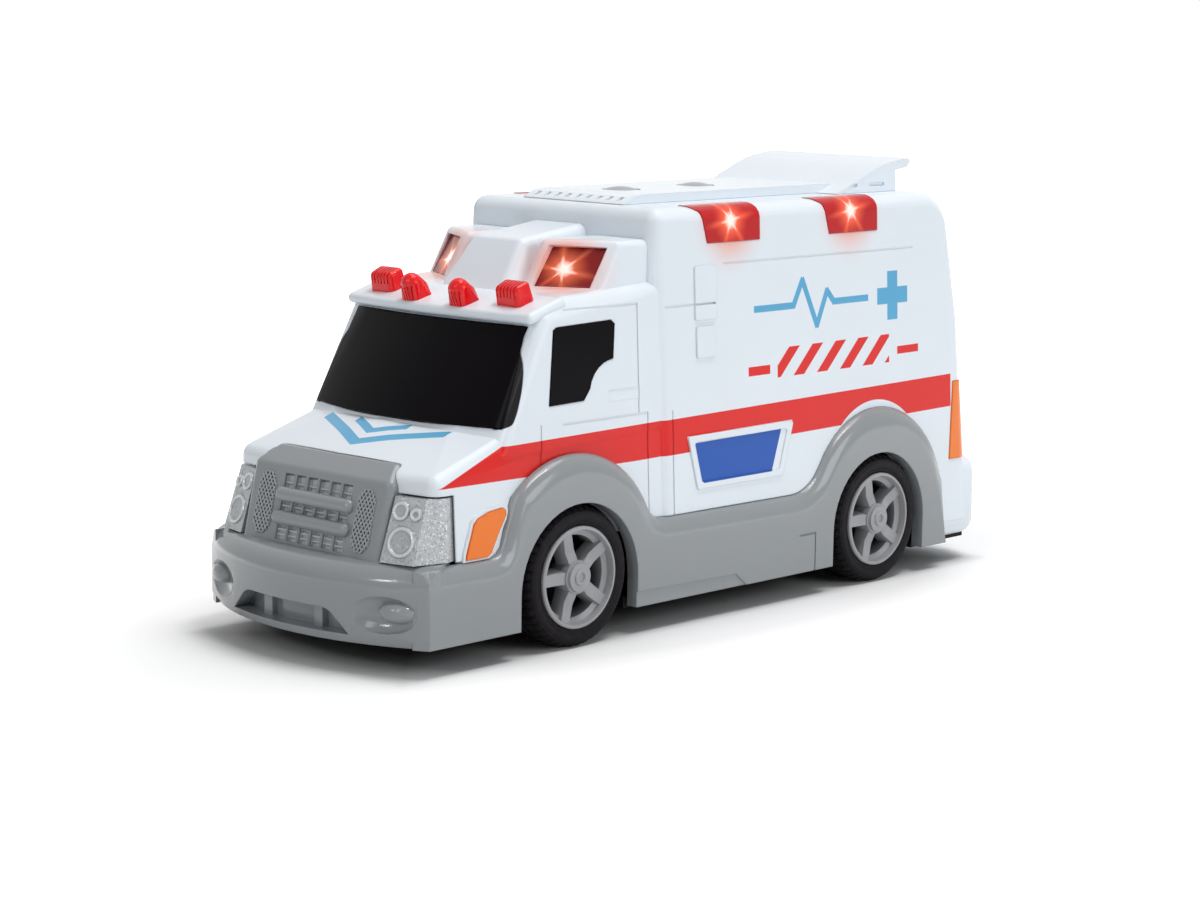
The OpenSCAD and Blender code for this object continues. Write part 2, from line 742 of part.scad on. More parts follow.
// Place of a lamp: 1 and 4 are the outer ones
function marker_at(i) = i == 1 || i == 4
    ? [marker_x, marker_out_y * (i == 1 ? 1 : -1), marker_z + 0.9]
    : [marker_x + 2.4, marker_in_y * (i == 2 ? 1 : -1), marker_z - 0.2];
module marker_lamp(i) {
    color(red) difference() {
        translate(marker_at(i)) rotate([0, brow_lean, 0]) {
            if (i == 1 || i == 4) difference() {
                marker_box();
                difference() {
                    marker_grooves(6, 0.75, 0.4, 4);
                    marker_box(-groove);
                }
            }
            else difference() {
                marker_bullet();
                difference() {
                    marker_grooves(5, 0.62, -4, 2);
                    marker_bullet(-groove);
                }
            }
        }
        greenhouse_form(0.02);
        brow_form(0.02);
        deflector_form(0.02);
    }
}
module marker_lamp_1() {
    marker_lamp(1);
}
module marker_lamp_2() {
    marker_lamp(2);
}
module marker_lamp_3() {
    marker_lamp(3);
}
module marker_lamp_4() {
    marker_lamp(4);
}

module beacon() {
    color(red) lens_form();
}
module beacon_left() {
    beacon();
}
module beacon_right() {
    mirror([0, 1, 0]) beacon();
}

// Lamps that wrap over the box's roof edge
side_lamp_len = 13.2;
side_lamp_low = roof_z - 6;
side_lamp_front = box_front - 12.4;
side_lamp_pitch = 31.6;
lamp_corner = 2.6;
module side_lamp_volume(x, g = 0) {
    along_y(side_y(roof_z) - 3.4 - g, 40) polygon(concat(
        [[x + g, side_lamp_low - g], [x + 1.4 + g, roof_z - 0.9], [x + 5, roof_z + 1 + g]],
        arc([x - side_lamp_len + lamp_corner, roof_z + 1 - lamp_corner], lamp_corner + g, 90, 180, 4),
        [[x - side_lamp_len - g, side_lamp_low - g]]));
}
module side_lamp(i) {
    color(red) intersection() {
        difference() {
            box_form(0.12);
            box_form(-wall);
        }
        side_lamp_volume(side_lamp_front - i * side_lamp_pitch);
    }
}
module side_lamp_front_left() {
    side_lamp(0);
}
module side_lamp_rear_left() {
    side_lamp(1);
}
module side_lamp_front_right() {
    mirror([0, 1, 0]) side_lamp(0);
}
module side_lamp_rear_right() {
    mirror([0, 1, 0]) side_lamp(1);
}

// Roof panel with spoiler

panel_front = box_front - 3.2;
spoiler_start = roof_rear_x + 18;
spoiler_rear = roof_rear_x - 2.9;
spoiler_leg = roof_rear_x + 1.2;
louvres = 9;
louvre_pitch = 2.38;
well_r = button_r + move_gap;
buttons = [button_x, button_x - button_pitch];
module roof_panel() {
    color(white) difference() {
        union() {
            along_y(-panel_half_w, panel_half_w)
                polygon([[panel_front, roof_z], [panel_front - 0.6, roof_z + 0.4],
                [panel_front - 2.6, roof_z + panel_h - 0.3], [panel_front - 5, roof_z + panel_h],
                [spoiler_start - 4, roof_z + panel_h], [spoiler_start - 10, roof_z]]);
            along_y(-spoiler_half_w, spoiler_half_w) polygon(concat([[spoiler_start, roof_z]],
                [for (i = [1:8]) let (u = i / 8) [spoiler_start + (spoiler_rear + 6 - spoiler_start) * u,
                    roof_z + 0.2 + (spoiler_h - 0.9) * (u * u * (3 - 2 * u) * 0.5 + u * 0.5)]],
                [[spoiler_rear + 0.6, roof_z + spoiler_h], [spoiler_rear, roof_z + spoiler_h - 0.5],
                 [spoiler_rear + 0.9, roof_z + spoiler_h - 1.6], [spoiler_leg + 0.2, roof_z + spoiler_h - 2],
                 [spoiler_leg, roof_z]]));
        }
        for (x = buttons) translate([x, 0, roof_z - 5]) cylinder(r = well_r, h = 20);
        for (i = [0:louvres - 1]) translate([panel_front - 2.2,
            (i - (louvres - 1) / 2) * louvre_pitch - 0.4, roof_z + 0.5])
            cube([3, 0.8, 2]);
        both_sides() for (x = [spoiler_leg + 3.4, spoiler_leg + 11])
            translate([x, spoiler_half_w - 0.3, roof_z + 1.1]) cube([4, 1, 0.5]);
    }
}

// Buttons

roof_in = roof_z - wall;
flange_h = 1;
flange_r = button_r + 1;
key_top = roof_in - flange_h - 2.4 - button_travel;
dome_h = 0.6;
module roof_button(x) {
    rim = roof_z + panel_h - 0.1;
    color(grey) translate([x, 0, 0]) rotate_extrude() polygon(concat(
        [[0, key_top + button_travel + 0.1], [1.2, key_top + button_travel + 0.1],
            [1.2, roof_in - 0.1 - flange_h],
         [flange_r, roof_in - 0.1 - flange_h], [flange_r, roof_in - 0.1], [button_r, roof_in - 0.1],
             [button_r, rim]],
        [for (i = [1:6]) let (u = i / 6) [button_r * (1 - u), rim + dome_h * (1 - (1 - u) * (1 - u))]]));
}
module button_front() {
    roof_button(buttons[0]);
}
module button_rear() {
    roof_button(buttons[1]);
}

// Tailgate

knuckle_r = 1.6;
hinge_x = rear_x(hinge_z) + knuckle_r;
stub_r = 1.1;
stub_len = 1.9;
// Room over the knuckle for the leaning panel when it is swung up
swing_gap = 0.35;
window_low_z = rear_bend_z + 2;
window_high_z = hinge_z - 3.2;
pane_half = 12.5;
pane_t = 0.7;
// Side profile of the rear wall between two heights, d behind its face, t thick
function rear_profile(z0, z1, d, t) = [[rear_x(z0) + d, z0], [rear_x(rear_bend_z) + d, rear_bend_z],
    [rear_x(z1) + d, z1],
    [rear_x(z1) + d + t, z1], [rear_x(rear_bend_z) + d + t, rear_bend_z], [rear_x(z0) + d + t, z0]];
function pane_profile(d, t) = [[rear_x(window_low_z) + d, window_low_z],
    [rear_x(window_high_z) + d, window_high_z],
    [rear_x(window_high_z) + d + t, window_high_z], [rear_x(window_low_z) + d + t, window_low_z]];
module tailgate() {
    color(white) difference() {
        union() {
            along_y(-tail_half, tail_half) polygon(rear_profile(tailgate_low, hinge_z, 0, tailgate_t));
            translate([hinge_x, -tail_half, hinge_z]) rotate([-90, 0, 0])
                cylinder(r = knuckle_r, h = 2 * tail_half);
            translate([hinge_x, -tail_half - stub_len, hinge_z]) rotate([-90, 0, 0])
                cylinder(r = stub_r, h = 2 * (tail_half + stub_len));
            along_y(-5, 5) polygon([[rear_x(30) - 0.9, tailgate_low + 1.4],
                [rear_x(30) + 0.5, tailgate_low + 1],
                [rear_x(30) + 0.5, tailgate_low + 3.4], [rear_x(30) - 0.9, tailgate_low + 2.8]]);
        }
        along_y(-pane_half - seat_gap, pane_half + seat_gap) polygon(pane_profile(-1, pane_t + 1));
        along_y(-pane_half, pane_half) polygon([[rear_x(34) - 2, 33.5], [rear_x(34) + 0.4, 33.5],
            [rear_x(42) + 0.4, 42], [rear_x(42) - 2, 42]]);
    }
}
module tailgate_window() {
    color(black) along_y(-pane_half, pane_half) polygon(pane_profile(0, pane_t));
}

// White shell

boss_r = 2.7;
screw_r = 1;
screw_hole = screw_r + 0.05;
screw_front = hood_nose - 8;
screw_rear = step_rear + 11;
screw_y = sill_half_w - 11.5;
plate_low = skirt_low - 0.4;
plate_t = 1.8;
plate_top = plate_low + plate_t;
module screw_bosses() {
    both_sides() {
        translate([screw_front, screw_y, plate_top])
            cylinder(r = boss_r, h = hood_nose_z + 1.2 - plate_top, $fn = 24);
        translate([screw_rear, screw_y, plate_top])
            cylinder(r = boss_r, h = step_top - plate_top - 1, $fn = 24);
    }
}
module screw_holes() {
    both_sides() for (x = [screw_front, screw_rear]) translate([x, screw_y, plate_low - 1])
        cylinder(r = screw_hole, h = 13.4, $fn = 24);
}

// Ears inside the rear corners that hold the tailgate's stubs
module hinge_ears() {
    both_sides() translate([hinge_x - knuckle_r + 0.2, tail_half + move_gap, hinge_z - 2.6])
        cube([4.4, 3, 5.2]);
}
module tail_opening() {
    z0 = tailgate_low - move_gap;
    z1 = hinge_z + knuckle_r + move_gap + swing_gap;
    along_y(-tail_half - move_gap, tail_half + move_gap) polygon([[rear_x(z0) - 3, z0],
        [rear_x(z1) - 3, z1], [rear_x(z1) + 4.4, z1], [rear_x(z0) + 4.4, z0]]);
}

// Door seams, handle, locker relief and crease on the left side
seam = 0.3;
seam_depth = 0.12;
door_front = header_x + 0.15;
door_rear = box_front + 4.1;
sill_seam = box_front + 2;
door_top = header_z + 2.2;
crease_z = cowl_z - 0.5;
handle_x = door_rear + 3.5;
handle_z = cowl_z + 3.1;
roof_crease_z = roof_z - 9.7;
locker_z = roof_z - 16;
module side_seams() {
    both_sides() {
        difference() {
            along_y(12, 30) {
                translate([door_front, 15]) square([seam, cowl_z - 15]);
                translate([sill_seam, 15]) square([seam, crease_z - 15]);
                translate([sill_seam, crease_z]) square([window_front - sill_seam - 2, seam]);
                translate([door_rear, crease_z]) square([seam, door_top - crease_z]);
                translate([door_rear, door_top]) square([window_front - door_rear - 3, seam]);
                translate([handle_x - 3.6, handle_z - 0.9]) square([7.2, 1.8]);
            }
            greenhouse_form(-seam_depth);
            front_form(-seam_depth);
        }
        difference() {
            along_y(12, 30) {
                translate([box_rear + 16.4, roof_crease_z])
                    square([box_front - 31.3 - box_rear - 16.4 + 15, seam]);
                translate([box_front - 14, locker_z]) square([12, seam]);
                translate([box_front - 3.5, 15]) square([seam, crease_z - 15]);
            }
            box_form(-seam_depth);
        }
    }
}
// Raised pads on the sides: door handle, locker doors, blue panel and signal
pad_h = 0.3;
pad_top = skirt_top + 12.8;
pad_low = skirt_top + 3.7;
pad_front = box_front - 6.8;
pad_len = 26.9;
pad_rim = 1.2;
module panel_outline() {
    polygon([[pad_front, pad_top], [pad_front - 2.2, pad_low], [pad_front - pad_len + 3, pad_low],
        [pad_front - pad_len, pad_top]]);
}
module side_pads() {
    both_sides() {
        intersection() {
            greenhouse_form(0.1);
            along_y(12, 30) translate([handle_x - 3.4, handle_z - 0.6]) square([5, 1.2]);
        }
        intersection() {
            box_form(pad_h);
            along_y(12, 30) {
                offset(r = 0.5, $fn = 16) translate([box_front - 13.9, roof_z - 18]) square([4.4, 8]);
                offset(r = 0.5, $fn = 16) translate([box_front - 13.4, roof_z - 24.2]) square([3.6, 4.2]);
                offset(r = 0.5, $fn = 16) offset(delta = -0.5) panel_outline();
            }
        }
        intersection() {
            front_form(pad_h);
            along_y(12, 30) offset(delta = 0.6) signal_outline();
        }
    }
}

// Brow over the windscreen
module brow_form(g = 0) {
    r = 0.9;
    hull() for (t = [-1, -0.6, 0, 0.6, 1]) {
        ball([header_x + 0.5 + header_bow * (1 - t * t), t * (screen_half_top + 0.2),
            header_z + 1 + r / 2], r + g);
        ball([header_x - 6, t * (screen_half_top + 0.2), header_z + 3.4], r + g);
    }
}

module shell_outside() {
    difference() {
        union() {
            box_form();
            greenhouse_form();
            difference() {
                front_form();
                translate([box_front, -40, -10]) cube([80, 80, front_foot + 10]);
            }
            brow_form();
            deflector_form();
            both_sides() pod_form();
            side_pads();
        }
        translate([-100, -40, -10]) cube([200, 80, shell_foot + 10]);
    }
    step_form();
}
module shell_inside() {
    box_form(-wall);
    greenhouse_form(-wall);
    front_form(-wall);
    both_sides() translate([0, 0, 0]) intersection() {
        pod_form(-pod_r + 0.1);
        translate([box_front - 6, lens_y0 + 0.6, 0]) cube([20, lens_y1 - lens_y0 - 1.2, 80]);
    }
}

module upper_shell() {
    color(white) difference() {
        union() {
            difference() {
                shell_outside();
                difference() {
                    shell_inside();
                    translate([-100, -40, 0]) cube([100 + skirt_rear - 0.2, 80, step_top - 1.4]);
                }
                tail_opening();
            }
            intersection() {
                hinge_ears();
                box_form();
            }
            screw_bosses();
        }
        screw_holes();
        both_sides() translate([hinge_x, 0, hinge_z]) rotate([-90, 0, 0])
            cylinder(r = stub_r + 0.15, h = tail_half + stub_len + 0.3);
        side_seams();
        both_sides() {
            difference() {
                along_y(12, 30) offset(r = 0.4, $fn = 16) offset(delta = -pad_rim - 0.4) panel_outline();
                box_form(pad_h - 0.2);
            }
            skirt_recess();
            headlight_block(0.3);
            lens_form(seat_gap);
            lens_opening();
            intersection() {
                front_form(2);
                along_y(15, 30) offset(delta = seat_gap) signal_outline();
                difference() {
                    front_form(2);
                    front_form(-0.7 - seat_gap);
                }
            }
            intersection() {
                rear_signal_volume(seat_gap);
                difference() {
                    box_form(2);
                    box_form(-0.8 - seat_gap);
                }
            }
            difference() {
                along_y(12, 30) door_window_outline(seat_gap);
                greenhouse_form(-0.8 - seat_gap);
            }
            for (i = [0, 1]) side_lamp_volume(side_lamp_front - i * side_lamp_pitch, seat_gap);
        }
        windscreen_form(seat_gap);
        windscreen_hole();
        hull() for (x = [0, nose_bow + 0.2]) translate([x, 0, 0]) grille_block(seat_gap);
        wheel_openings(0.6, 14, 40);
        for (x = buttons) translate([x, 0, roof_z - 8]) cylinder(r = well_r, h = 20);
        tail_plate(0.1);
    }
}

// Chassis with axle bearings and wheel tubs

tub_r = tyre_r + 1.25;
tub_t = 1;
track_in = skirt_y - 0.4 - tyre_w;
tub_wall_y = track_in - 1.4;
bearing_len = 5;
bearing_r = 3;
floor_z = axle_z + tub_r + tub_t + 0.5;
plate_front = hood_nose - 3;
plate_rear = step_rear + 5.4;
plate_half = skirt_in - 0.3;
tail_half_w = sill_half_w - 1.9;
post_r = 2.4;
cell_r = 5.8;
cell_h = 5.4;
cell_n = 3;
cells_x = (front_axle_x + rear_axle_x) / 2 - 9.3;
cells_len = cell_n * cell_h;
contact_t = 0.4;
door_t = 1.2;
door_front_x = cells_x + cells_len / 2 + 11;
door_rear_x = cells_x - cells_len / 2 - 3;
door_half = cell_r + 2.2;
box_wall = 1;
cell_z = plate_low + door_t + 0.2 + cell_r;
door_screw_x = door_front_x - 4;
speaker_x = front_axle_x - 14;
speaker_r = 8.6;

module wheel_tub(x) {
    translate([x, 0, axle_z]) rotate([-90, 0, 0]) difference() {
        translate([0, 0, tub_wall_y - 1]) cylinder(r = tub_r + tub_t, h = plate_half - tub_wall_y - 0.6);
        translate([0, 0, tub_wall_y]) cylinder(r = tub_r, h = 20);
    }
}
module axle_bearing(x) {
    translate([x, tub_wall_y - bearing_len, axle_z]) rotate([-90, 0, 0])
        cylinder(r = bearing_r, h = bearing_len);
    translate([x - bearing_r, tub_wall_y - bearing_len, plate_low])
        cube([2 * bearing_r, bearing_len, axle_z - plate_low]);
}
module chassis_plate() {
    difference() {
        translate([plate_rear, -plate_half, plate_low])
            cube([plate_front - plate_rear, 2 * plate_half, plate_t]);
        both_sides() translate([plate_front + 3, plate_half, 0]) rotate([0, 0, 45])
            cube([20, 20, 30], center = true);
        both_sides() translate([plate_rear - 5, tail_half_w, 0])
            cube([skirt_rear - plate_rear + 5.2, 20, 30]);
    }
}
// Its rear end, which carries the bumper step, grown by g
module tail_plate(g) {
    translate([plate_rear - g, -tail_half_w - g, plate_low - 1])
        cube([skirt_rear - plate_rear + 2 * g, 2 * (tail_half_w + g), plate_t + 1 + g]);
}
module battery_box() {
    difference() {
        translate([cells_x - cells_len / 2 - contact_t - box_wall - 0.3, -cell_r - box_wall - 0.3, plate_low])
            cube([cells_len + 2 * (contact_t + box_wall + 0.3), 2 * (cell_r + box_wall + 0.3), 2 * cell_r]);
        translate([cells_x - cells_len / 2 - contact_t, -cell_r - 0.2, plate_low - 1])
            cube([cells_len + 2 * contact_t, 2 * cell_r + 0.4, 30]);
    }
}
module chassis_base() {
    color(dark) difference() {
        union() {
            difference() {
                chassis_plate();
                both_sides() for (x = [front_axle_x, rear_axle_x])
                    translate([x - tub_r, tub_wall_y, -1]) cube([2 * tub_r, 30, 30]);
            }
            intersection() {
                both_sides() for (x = [front_axle_x, rear_axle_x]) {
                    wheel_tub(x);
                    axle_bearing(x);
                }
                translate([-100, -40, plate_low]) cube([200, 80, 60]);
            }
            both_sides() {
                translate([front_axle_x - 24, sill_half_w - 11, plate_low])
                    cylinder(r = post_r, h = floor_z - plate_low);
                translate([rear_axle_x - 15.5, sill_half_w - 15, plate_low])
                    cylinder(r = post_r, h = floor_z - plate_low);
            }
            battery_box();
            translate([door_screw_x, 0, plate_low]) cylinder(r = 2.6, h = 7);
        }
        both_sides() for (x = [front_axle_x, rear_axle_x]) translate([x, 0, axle_z]) rotate([-90, 0, 0])
            cylinder(r = axle_r + run_gap, h = 30);
        // Battery opening and the ledge for its door
        translate([cells_x - cells_len / 2 - contact_t, -cell_r - 0.2, plate_low - 1])
            cube([cells_len + 2 * contact_t, 2 * cell_r + 0.4, cell_r + 3]);
        translate([door_rear_x - 0.15, -door_half - 0.15, plate_low - 1])
            cube([door_front_x - door_rear_x + 0.3, 2 * door_half + 0.3, door_t + 1]);
        translate([door_screw_x, 0, plate_low - 1]) cylinder(r = screw_hole, h = 7);
        // Sound slots under the speaker
        for (i = [-2:2]) translate([speaker_x - 4, i * 2.4 - 0.5, plate_low - 1]) cube([8, 1, plate_t + 2]);
        both_sides() for (x = [screw_front, screw_rear]) translate([x, screw_y, plate_low - 1]) {
            cylinder(r = screw_hole + 0.1, h = 10);
            cylinder(r = 2.3, h = 1 + 1.1);
        }
    }
}

// Wheels

hub_r = 2.3;
lip_t = 0.65;
barrel_r = rim_r - lip_t;
spoke_turn = 125;
spoke_w = 2;
hub_face = skirt_y + 0.1;
axle_half = skirt_y - 2.4;
wheel_out = skirt_y - 0.3;

module axle(x) {
    color(silver) translate([x, -axle_half, axle_z]) rotate([-90, 0, 0])
        cylinder(r = axle_r, h = 2 * axle_half);
}
module front_axle() {
    axle(front_axle_x);
}
module rear_axle() {
    axle(rear_axle_x);
}

// Rim on the left, drawn with its axis along Z from the inner face
rim_w = wheel_out - track_in;
module rim_shape() {
    face = rim_w - 0.5;
    difference() {
        union() {
            // Barrel with its lip, a step inside and a bead at the back
            rotate_extrude() polygon([[barrel_r - 0.9, 0.6], [rim_r - 0.7, 0.6],
                [rim_r - 0.7, rim_w - 1.1], [rim_r, rim_w - 0.9],
                [rim_r, rim_w - 0.2], [rim_r - 0.2, rim_w], [barrel_r + 0.1, rim_w],
                    [barrel_r - 0.1, face - 0.8],
                [barrel_r - 0.9, face - 1.2]]);
            cylinder(r = hub_r + 0.4, h = face);
            cylinder(r = hub_r, h = hub_face - track_in - 0.35);
            rotate_extrude() translate([1, hub_face - track_in - 0.3]) circle(0.28, $fn = 16);
            intersection() {
                for (i = [0:spokes - 1]) rotate(spoke_turn + 360 / spokes * i) rotate([-90, 0, 0])
                    linear_extrude(barrel_r + 0.3)
                    polygon([[-spoke_w * 0.68, 3 - face], [spoke_w * 0.68, 3 - face],
                        [spoke_w * 0.46, 0.2 - face],
                        [-spoke_w * 0.46, 0.2 - face]]);
                // Spokes dip a little between hub and lip
                rotate_extrude() polygon([[0, 0], [barrel_r + 0.3, 0], [barrel_r + 0.3, face - 0.3],
                    [barrel_r * 0.6, face - 0.7],
                    [hub_r, face - 0.2], [0, face]]);
            }
            cylinder(r = axle_r + 1.4, h = 2);
        }
        translate([0, 0, -1]) cylinder(r = axle_r, h = axle_half - track_in + 1);
    }
}
module rim(x, s) {
    color(grey) translate([x, s * track_in, axle_z]) rotate([-90 * s, 0, 0]) rim_shape();
}
module rim_front_left() {
    rim(front_axle_x, 1);
}
module rim_front_right() {
    rim(front_axle_x, -1);
}
module rim_rear_left() {
    rim(rear_axle_x, 1);
}
module rim_rear_right() {
    rim(rear_axle_x, -1);
}

// Rubber tyre with round shoulders, seated behind the rim's lip
module tyre(x, s) {
    in = rim_r - 0.7;
    color(black) translate([x, s * track_in, axle_z]) rotate([-90 * s, 0, 0]) rotate_extrude() polygon(concat(
        [[in, 0.6], [in + 0.9, 0.2]], arc([tyre_r - 1.3, 1.3], 1.3, -90, 0, 4),
        arc([tyre_r - 1.8, tyre_w - 1.7], 1.8, 0, 75, 5),
            [[rim_r + 0.5, tyre_w - 0.2], [rim_r + 0.02, rim_w - 0.55],
        [rim_r + 0.02, rim_w - 0.9], [in, rim_w - 1.12]]));
}
module tyre_front_left() {
    tyre(front_axle_x, 1);
}
module tyre_front_right() {
    tyre(front_axle_x, -1);
}
module tyre_rear_left() {
    tyre(rear_axle_x, 1);
}
module tyre_rear_right() {
    tyre(rear_axle_x, -1);
}

// Inside

liner_t = 1.2;
liner_half = side_y(roof_z) - wall - 1;
liner_front = box_front - wall - 1.4;
ceiling_z = hinge_z - 2.8;
ceiling_rear = hinge_x + 3.6;
board_t = 1;
rail_h = 1.2;
board_z = ceiling_z + liner_t + rail_h;
board_half = liner_half - 5.6;
board_rear = ceiling_rear + 6;
module compartment_liner() {
    floor_rear = rear_x(floor_z) + wall + 0.6;
    color(grey) {
        along_y(-liner_half, liner_half) polygon([[floor_rear, floor_z], [liner_front, floor_z],
            [liner_front, ceiling_z + liner_t], [ceiling_rear, ceiling_z + liner_t],
                [ceiling_rear, ceiling_z],
            [liner_front - liner_t, ceiling_z], [liner_front - liner_t, floor_z + liner_t],
                [floor_rear, floor_z + liner_t]]);
        both_sides() translate([board_rear, board_half - 3, ceiling_z + liner_t])
            cube([liner_front - board_rear, 1.6, rail_h]);
    }
}

led_r = 1.5;
led_z = board_z + board_t + led_r + 0.05;
nose_front = lens_back - 5.9;
nose_mid = (lens_y0 + lens_y1) / 2;
nose_half = 2.4;
key_w = 6;
module circuit_board() {
    color("#1f6b3a") {
        translate([board_rear, -board_half, board_z])
            cube([liner_front - board_rear, 2 * board_half, board_t]);
        both_sides() translate([liner_front - 1, nose_mid - nose_half, board_z])
            cube([nose_front - liner_front + 1, 2 * nose_half, board_t]);
        for (x = buttons) {
            translate([x - key_w / 2, -key_w / 2, board_z + board_t])
                cube([key_w, key_w, key_top - board_z - board_t - 0.9]);
            translate([x, 0, board_z + board_t]) cylinder(r = 1.6, h = key_top - board_z - board_t);
        }
    }
}
// Small round lamp lying on the board: body, collar and domed tip, drawn along Z
module led() {
    cylinder(r = led_r + 0.3, h = 0.9);
    cylinder(r = led_r, h = 3.6);
    translate([0, 0, 3.6]) sphere(led_r);
}
module side_leds() {
    color("#f4efe6") both_sides() for (i = [0, 1])
        translate([side_lamp_front - side_lamp_len / 2 - i * side_lamp_pitch, board_half - 1.4, led_z + 0.3])
            rotate([-90, 0, 0]) led();
}
module beacon_leds() {
    color("#f4efe6") both_sides() translate([nose_front + 0.05, nose_mid, board_z + board_t / 2])
        rotate([0, 90, 0]) led();
}
module speaker() {
    color(dark) translate([speaker_x, 0, plate_top]) {
        cylinder(r = speaker_r, h = 1.4);
        translate([0, 0, 1.4]) cylinder(r1 = speaker_r - 1, r2 = 5.2, h = 1.6);
        translate([0, 0, 3]) cylinder(r = 5, h = 2.4);
    }
}
module button_cells() {
    color(silver) for (i = [0:cell_n - 1])
        translate([cells_x - cells_len / 2 + i * cell_h + 0.02, 0, cell_z]) rotate([0, 90, 0]) {
            cylinder(r = cell_r, h = cell_h - 0.5);
            cylinder(r = cell_r - 1.2, h = cell_h - 0.04);
        }
}
module battery_contacts() {
    color(silver) for (x = [cells_x - cells_len / 2 - contact_t, cells_x + cells_len / 2])
        translate([x, -4, cell_z - 4]) cube([contact_t, 8, 9]);
}
module battery_door() {
    color(dark) difference() {
        translate([door_rear_x, -door_half, plate_low])
            cube([door_front_x - door_rear_x, 2 * door_half, door_t - 0.05]);
        translate([door_screw_x, 0, plate_low - 1]) cylinder(r = screw_hole + 0.1, h = 5);
        translate([door_screw_x, 0, plate_low - 1]) cylinder(r = 2.1, h = 1.6);
        for (i = [0:3]) translate([door_rear_x + 2 + i * 1.6, -4, plate_low - 1]) cube([0.7, 8, 1.3]);
    }
}
// Pan-head screw with a cross recess, head down at z = 0
module screw(len, head_r, head_h) {
    difference() {
        union() {
            cylinder(r = head_r, h = head_h);
            cylinder(r = screw_r, h = len);
        }
        for (a = [0, 90]) rotate(a) translate([-head_r * 0.6, -0.25, -1]) cube([head_r * 1.2, 0.5, 1.5]);
    }
}
module battery_door_screw() {
    color(silver) translate([door_screw_x, 0, plate_low - 0.4]) screw(6, 1.9, 0.95);
}
module chassis_screws() {
    color(silver) both_sides() for (x = [screw_front, screw_rear])
        translate([x, screw_y, plate_low + 0.05]) screw(11.5, 2.1, 1);
}

upper_shell();
lower_body();
roof_panel();
chassis_base();
windscreen();
door_window_left();
door_window_right();
headlight_left();
headlight_right();
front_signal_left();
front_signal_right();
rear_signal_left();
rear_signal_right();
marker_lamp_1();
marker_lamp_2();
marker_lamp_3();
marker_lamp_4();
beacon_left();
beacon_right();
side_lamp_front_left();
side_lamp_rear_left();
side_lamp_front_right();
side_lamp_rear_right();
button_front();
button_rear();
tailgate();
tailgate_window();
front_axle();
rear_axle();
rim_front_left();
rim_front_right();
rim_rear_left();
rim_rear_right();
tyre_front_left();
tyre_front_right();
tyre_rear_left();
tyre_rear_right();
compartment_liner();
circuit_board();
side_leds();
beacon_leds();
speaker();
button_cells();
battery_contacts();
battery_door();
battery_door_screw();
chassis_screws();
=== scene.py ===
# %% [markdown]
# A toy ambulance, dressed in Blender
#
# The toy is a white plastic van on a grey lower moulding, about 15 cm long, with red lamps, black
# glazing and printed stripes. Its solids come packed from the CAD step, in metres, with +X forward,
# +Y to the vehicle's left and +Z up. This script gives each solid smooth moulded edges and a
# finish of its own, adds the small things that only show up close, and sets up the studio.

# %% Load the frame
import json
import math

import bmesh
import bpy
from mathutils import Matrix, Vector

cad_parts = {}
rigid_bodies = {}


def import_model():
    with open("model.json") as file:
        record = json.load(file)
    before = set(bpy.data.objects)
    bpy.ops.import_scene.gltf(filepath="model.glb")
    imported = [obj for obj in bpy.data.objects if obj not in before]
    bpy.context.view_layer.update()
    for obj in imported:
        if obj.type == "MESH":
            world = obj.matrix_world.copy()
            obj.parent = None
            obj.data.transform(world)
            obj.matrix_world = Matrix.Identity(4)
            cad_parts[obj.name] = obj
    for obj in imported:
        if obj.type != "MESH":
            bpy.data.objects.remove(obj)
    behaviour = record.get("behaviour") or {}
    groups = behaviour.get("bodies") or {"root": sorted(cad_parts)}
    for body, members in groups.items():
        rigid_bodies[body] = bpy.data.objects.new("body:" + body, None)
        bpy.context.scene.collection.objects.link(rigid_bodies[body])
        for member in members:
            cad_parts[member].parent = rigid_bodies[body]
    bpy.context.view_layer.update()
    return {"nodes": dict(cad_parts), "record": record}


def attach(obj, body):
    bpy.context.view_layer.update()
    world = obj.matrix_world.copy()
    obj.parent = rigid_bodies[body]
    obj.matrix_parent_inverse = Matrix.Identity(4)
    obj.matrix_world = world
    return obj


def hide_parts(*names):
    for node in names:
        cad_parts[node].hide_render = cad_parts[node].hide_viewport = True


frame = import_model()
MM = 0.001
nodes = frame["nodes"]
record = frame["record"]
body_of_node = {node: body for body, names in record["behaviour"]["bodies"].items() for node in names}

# %% [markdown]
# Node helpers
#
# A procedural finish is a small program drawn as nodes. It could be wired by hand in the editor, but a
# few short functions keep it readable and make it the same each time: one adds a node, one sets or links
# a socket, and the others do sums with numbers and vectors.

# %% Nodes, sockets and sums
NUMBER_RESULTS = ("DOT_PRODUCT", "DISTANCE", "LENGTH")


def add(tree, kind, **settings):
    made = tree.nodes.new("ShaderNode" + kind)
    for key, value in settings.items():
        setattr(made, key, value)
    return made


def put(tree, socket, value):
    """Links a socket, or sets a plain number or colour."""
    if isinstance(value, bpy.types.NodeSocket):
        tree.links.new(value, socket)
    else:
        socket.default_value = value


def put_all(tree, sockets, values):
    for socket, value in zip(sockets, values):
        put(tree, socket, value)


def calc(tree, operation, *values):
    made = add(tree, "Math", operation=operation)
    put_all(tree, made.inputs, values)
    return made.outputs[0]


def chain(tree, operation, *values):
    """Joins any number of values by one operation, such as MAXIMUM for the union of masks."""
    total = values[0]
    for value in values[1:]:
        total = calc(tree, operation, total, value)
    return total


def vector_calc(tree, operation, *values):
    made = add(tree, "VectorMath", operation=operation)
    put_all(tree, made.inputs, values)
    return made.outputs["Value" if operation in NUMBER_RESULTS else "Vector"]


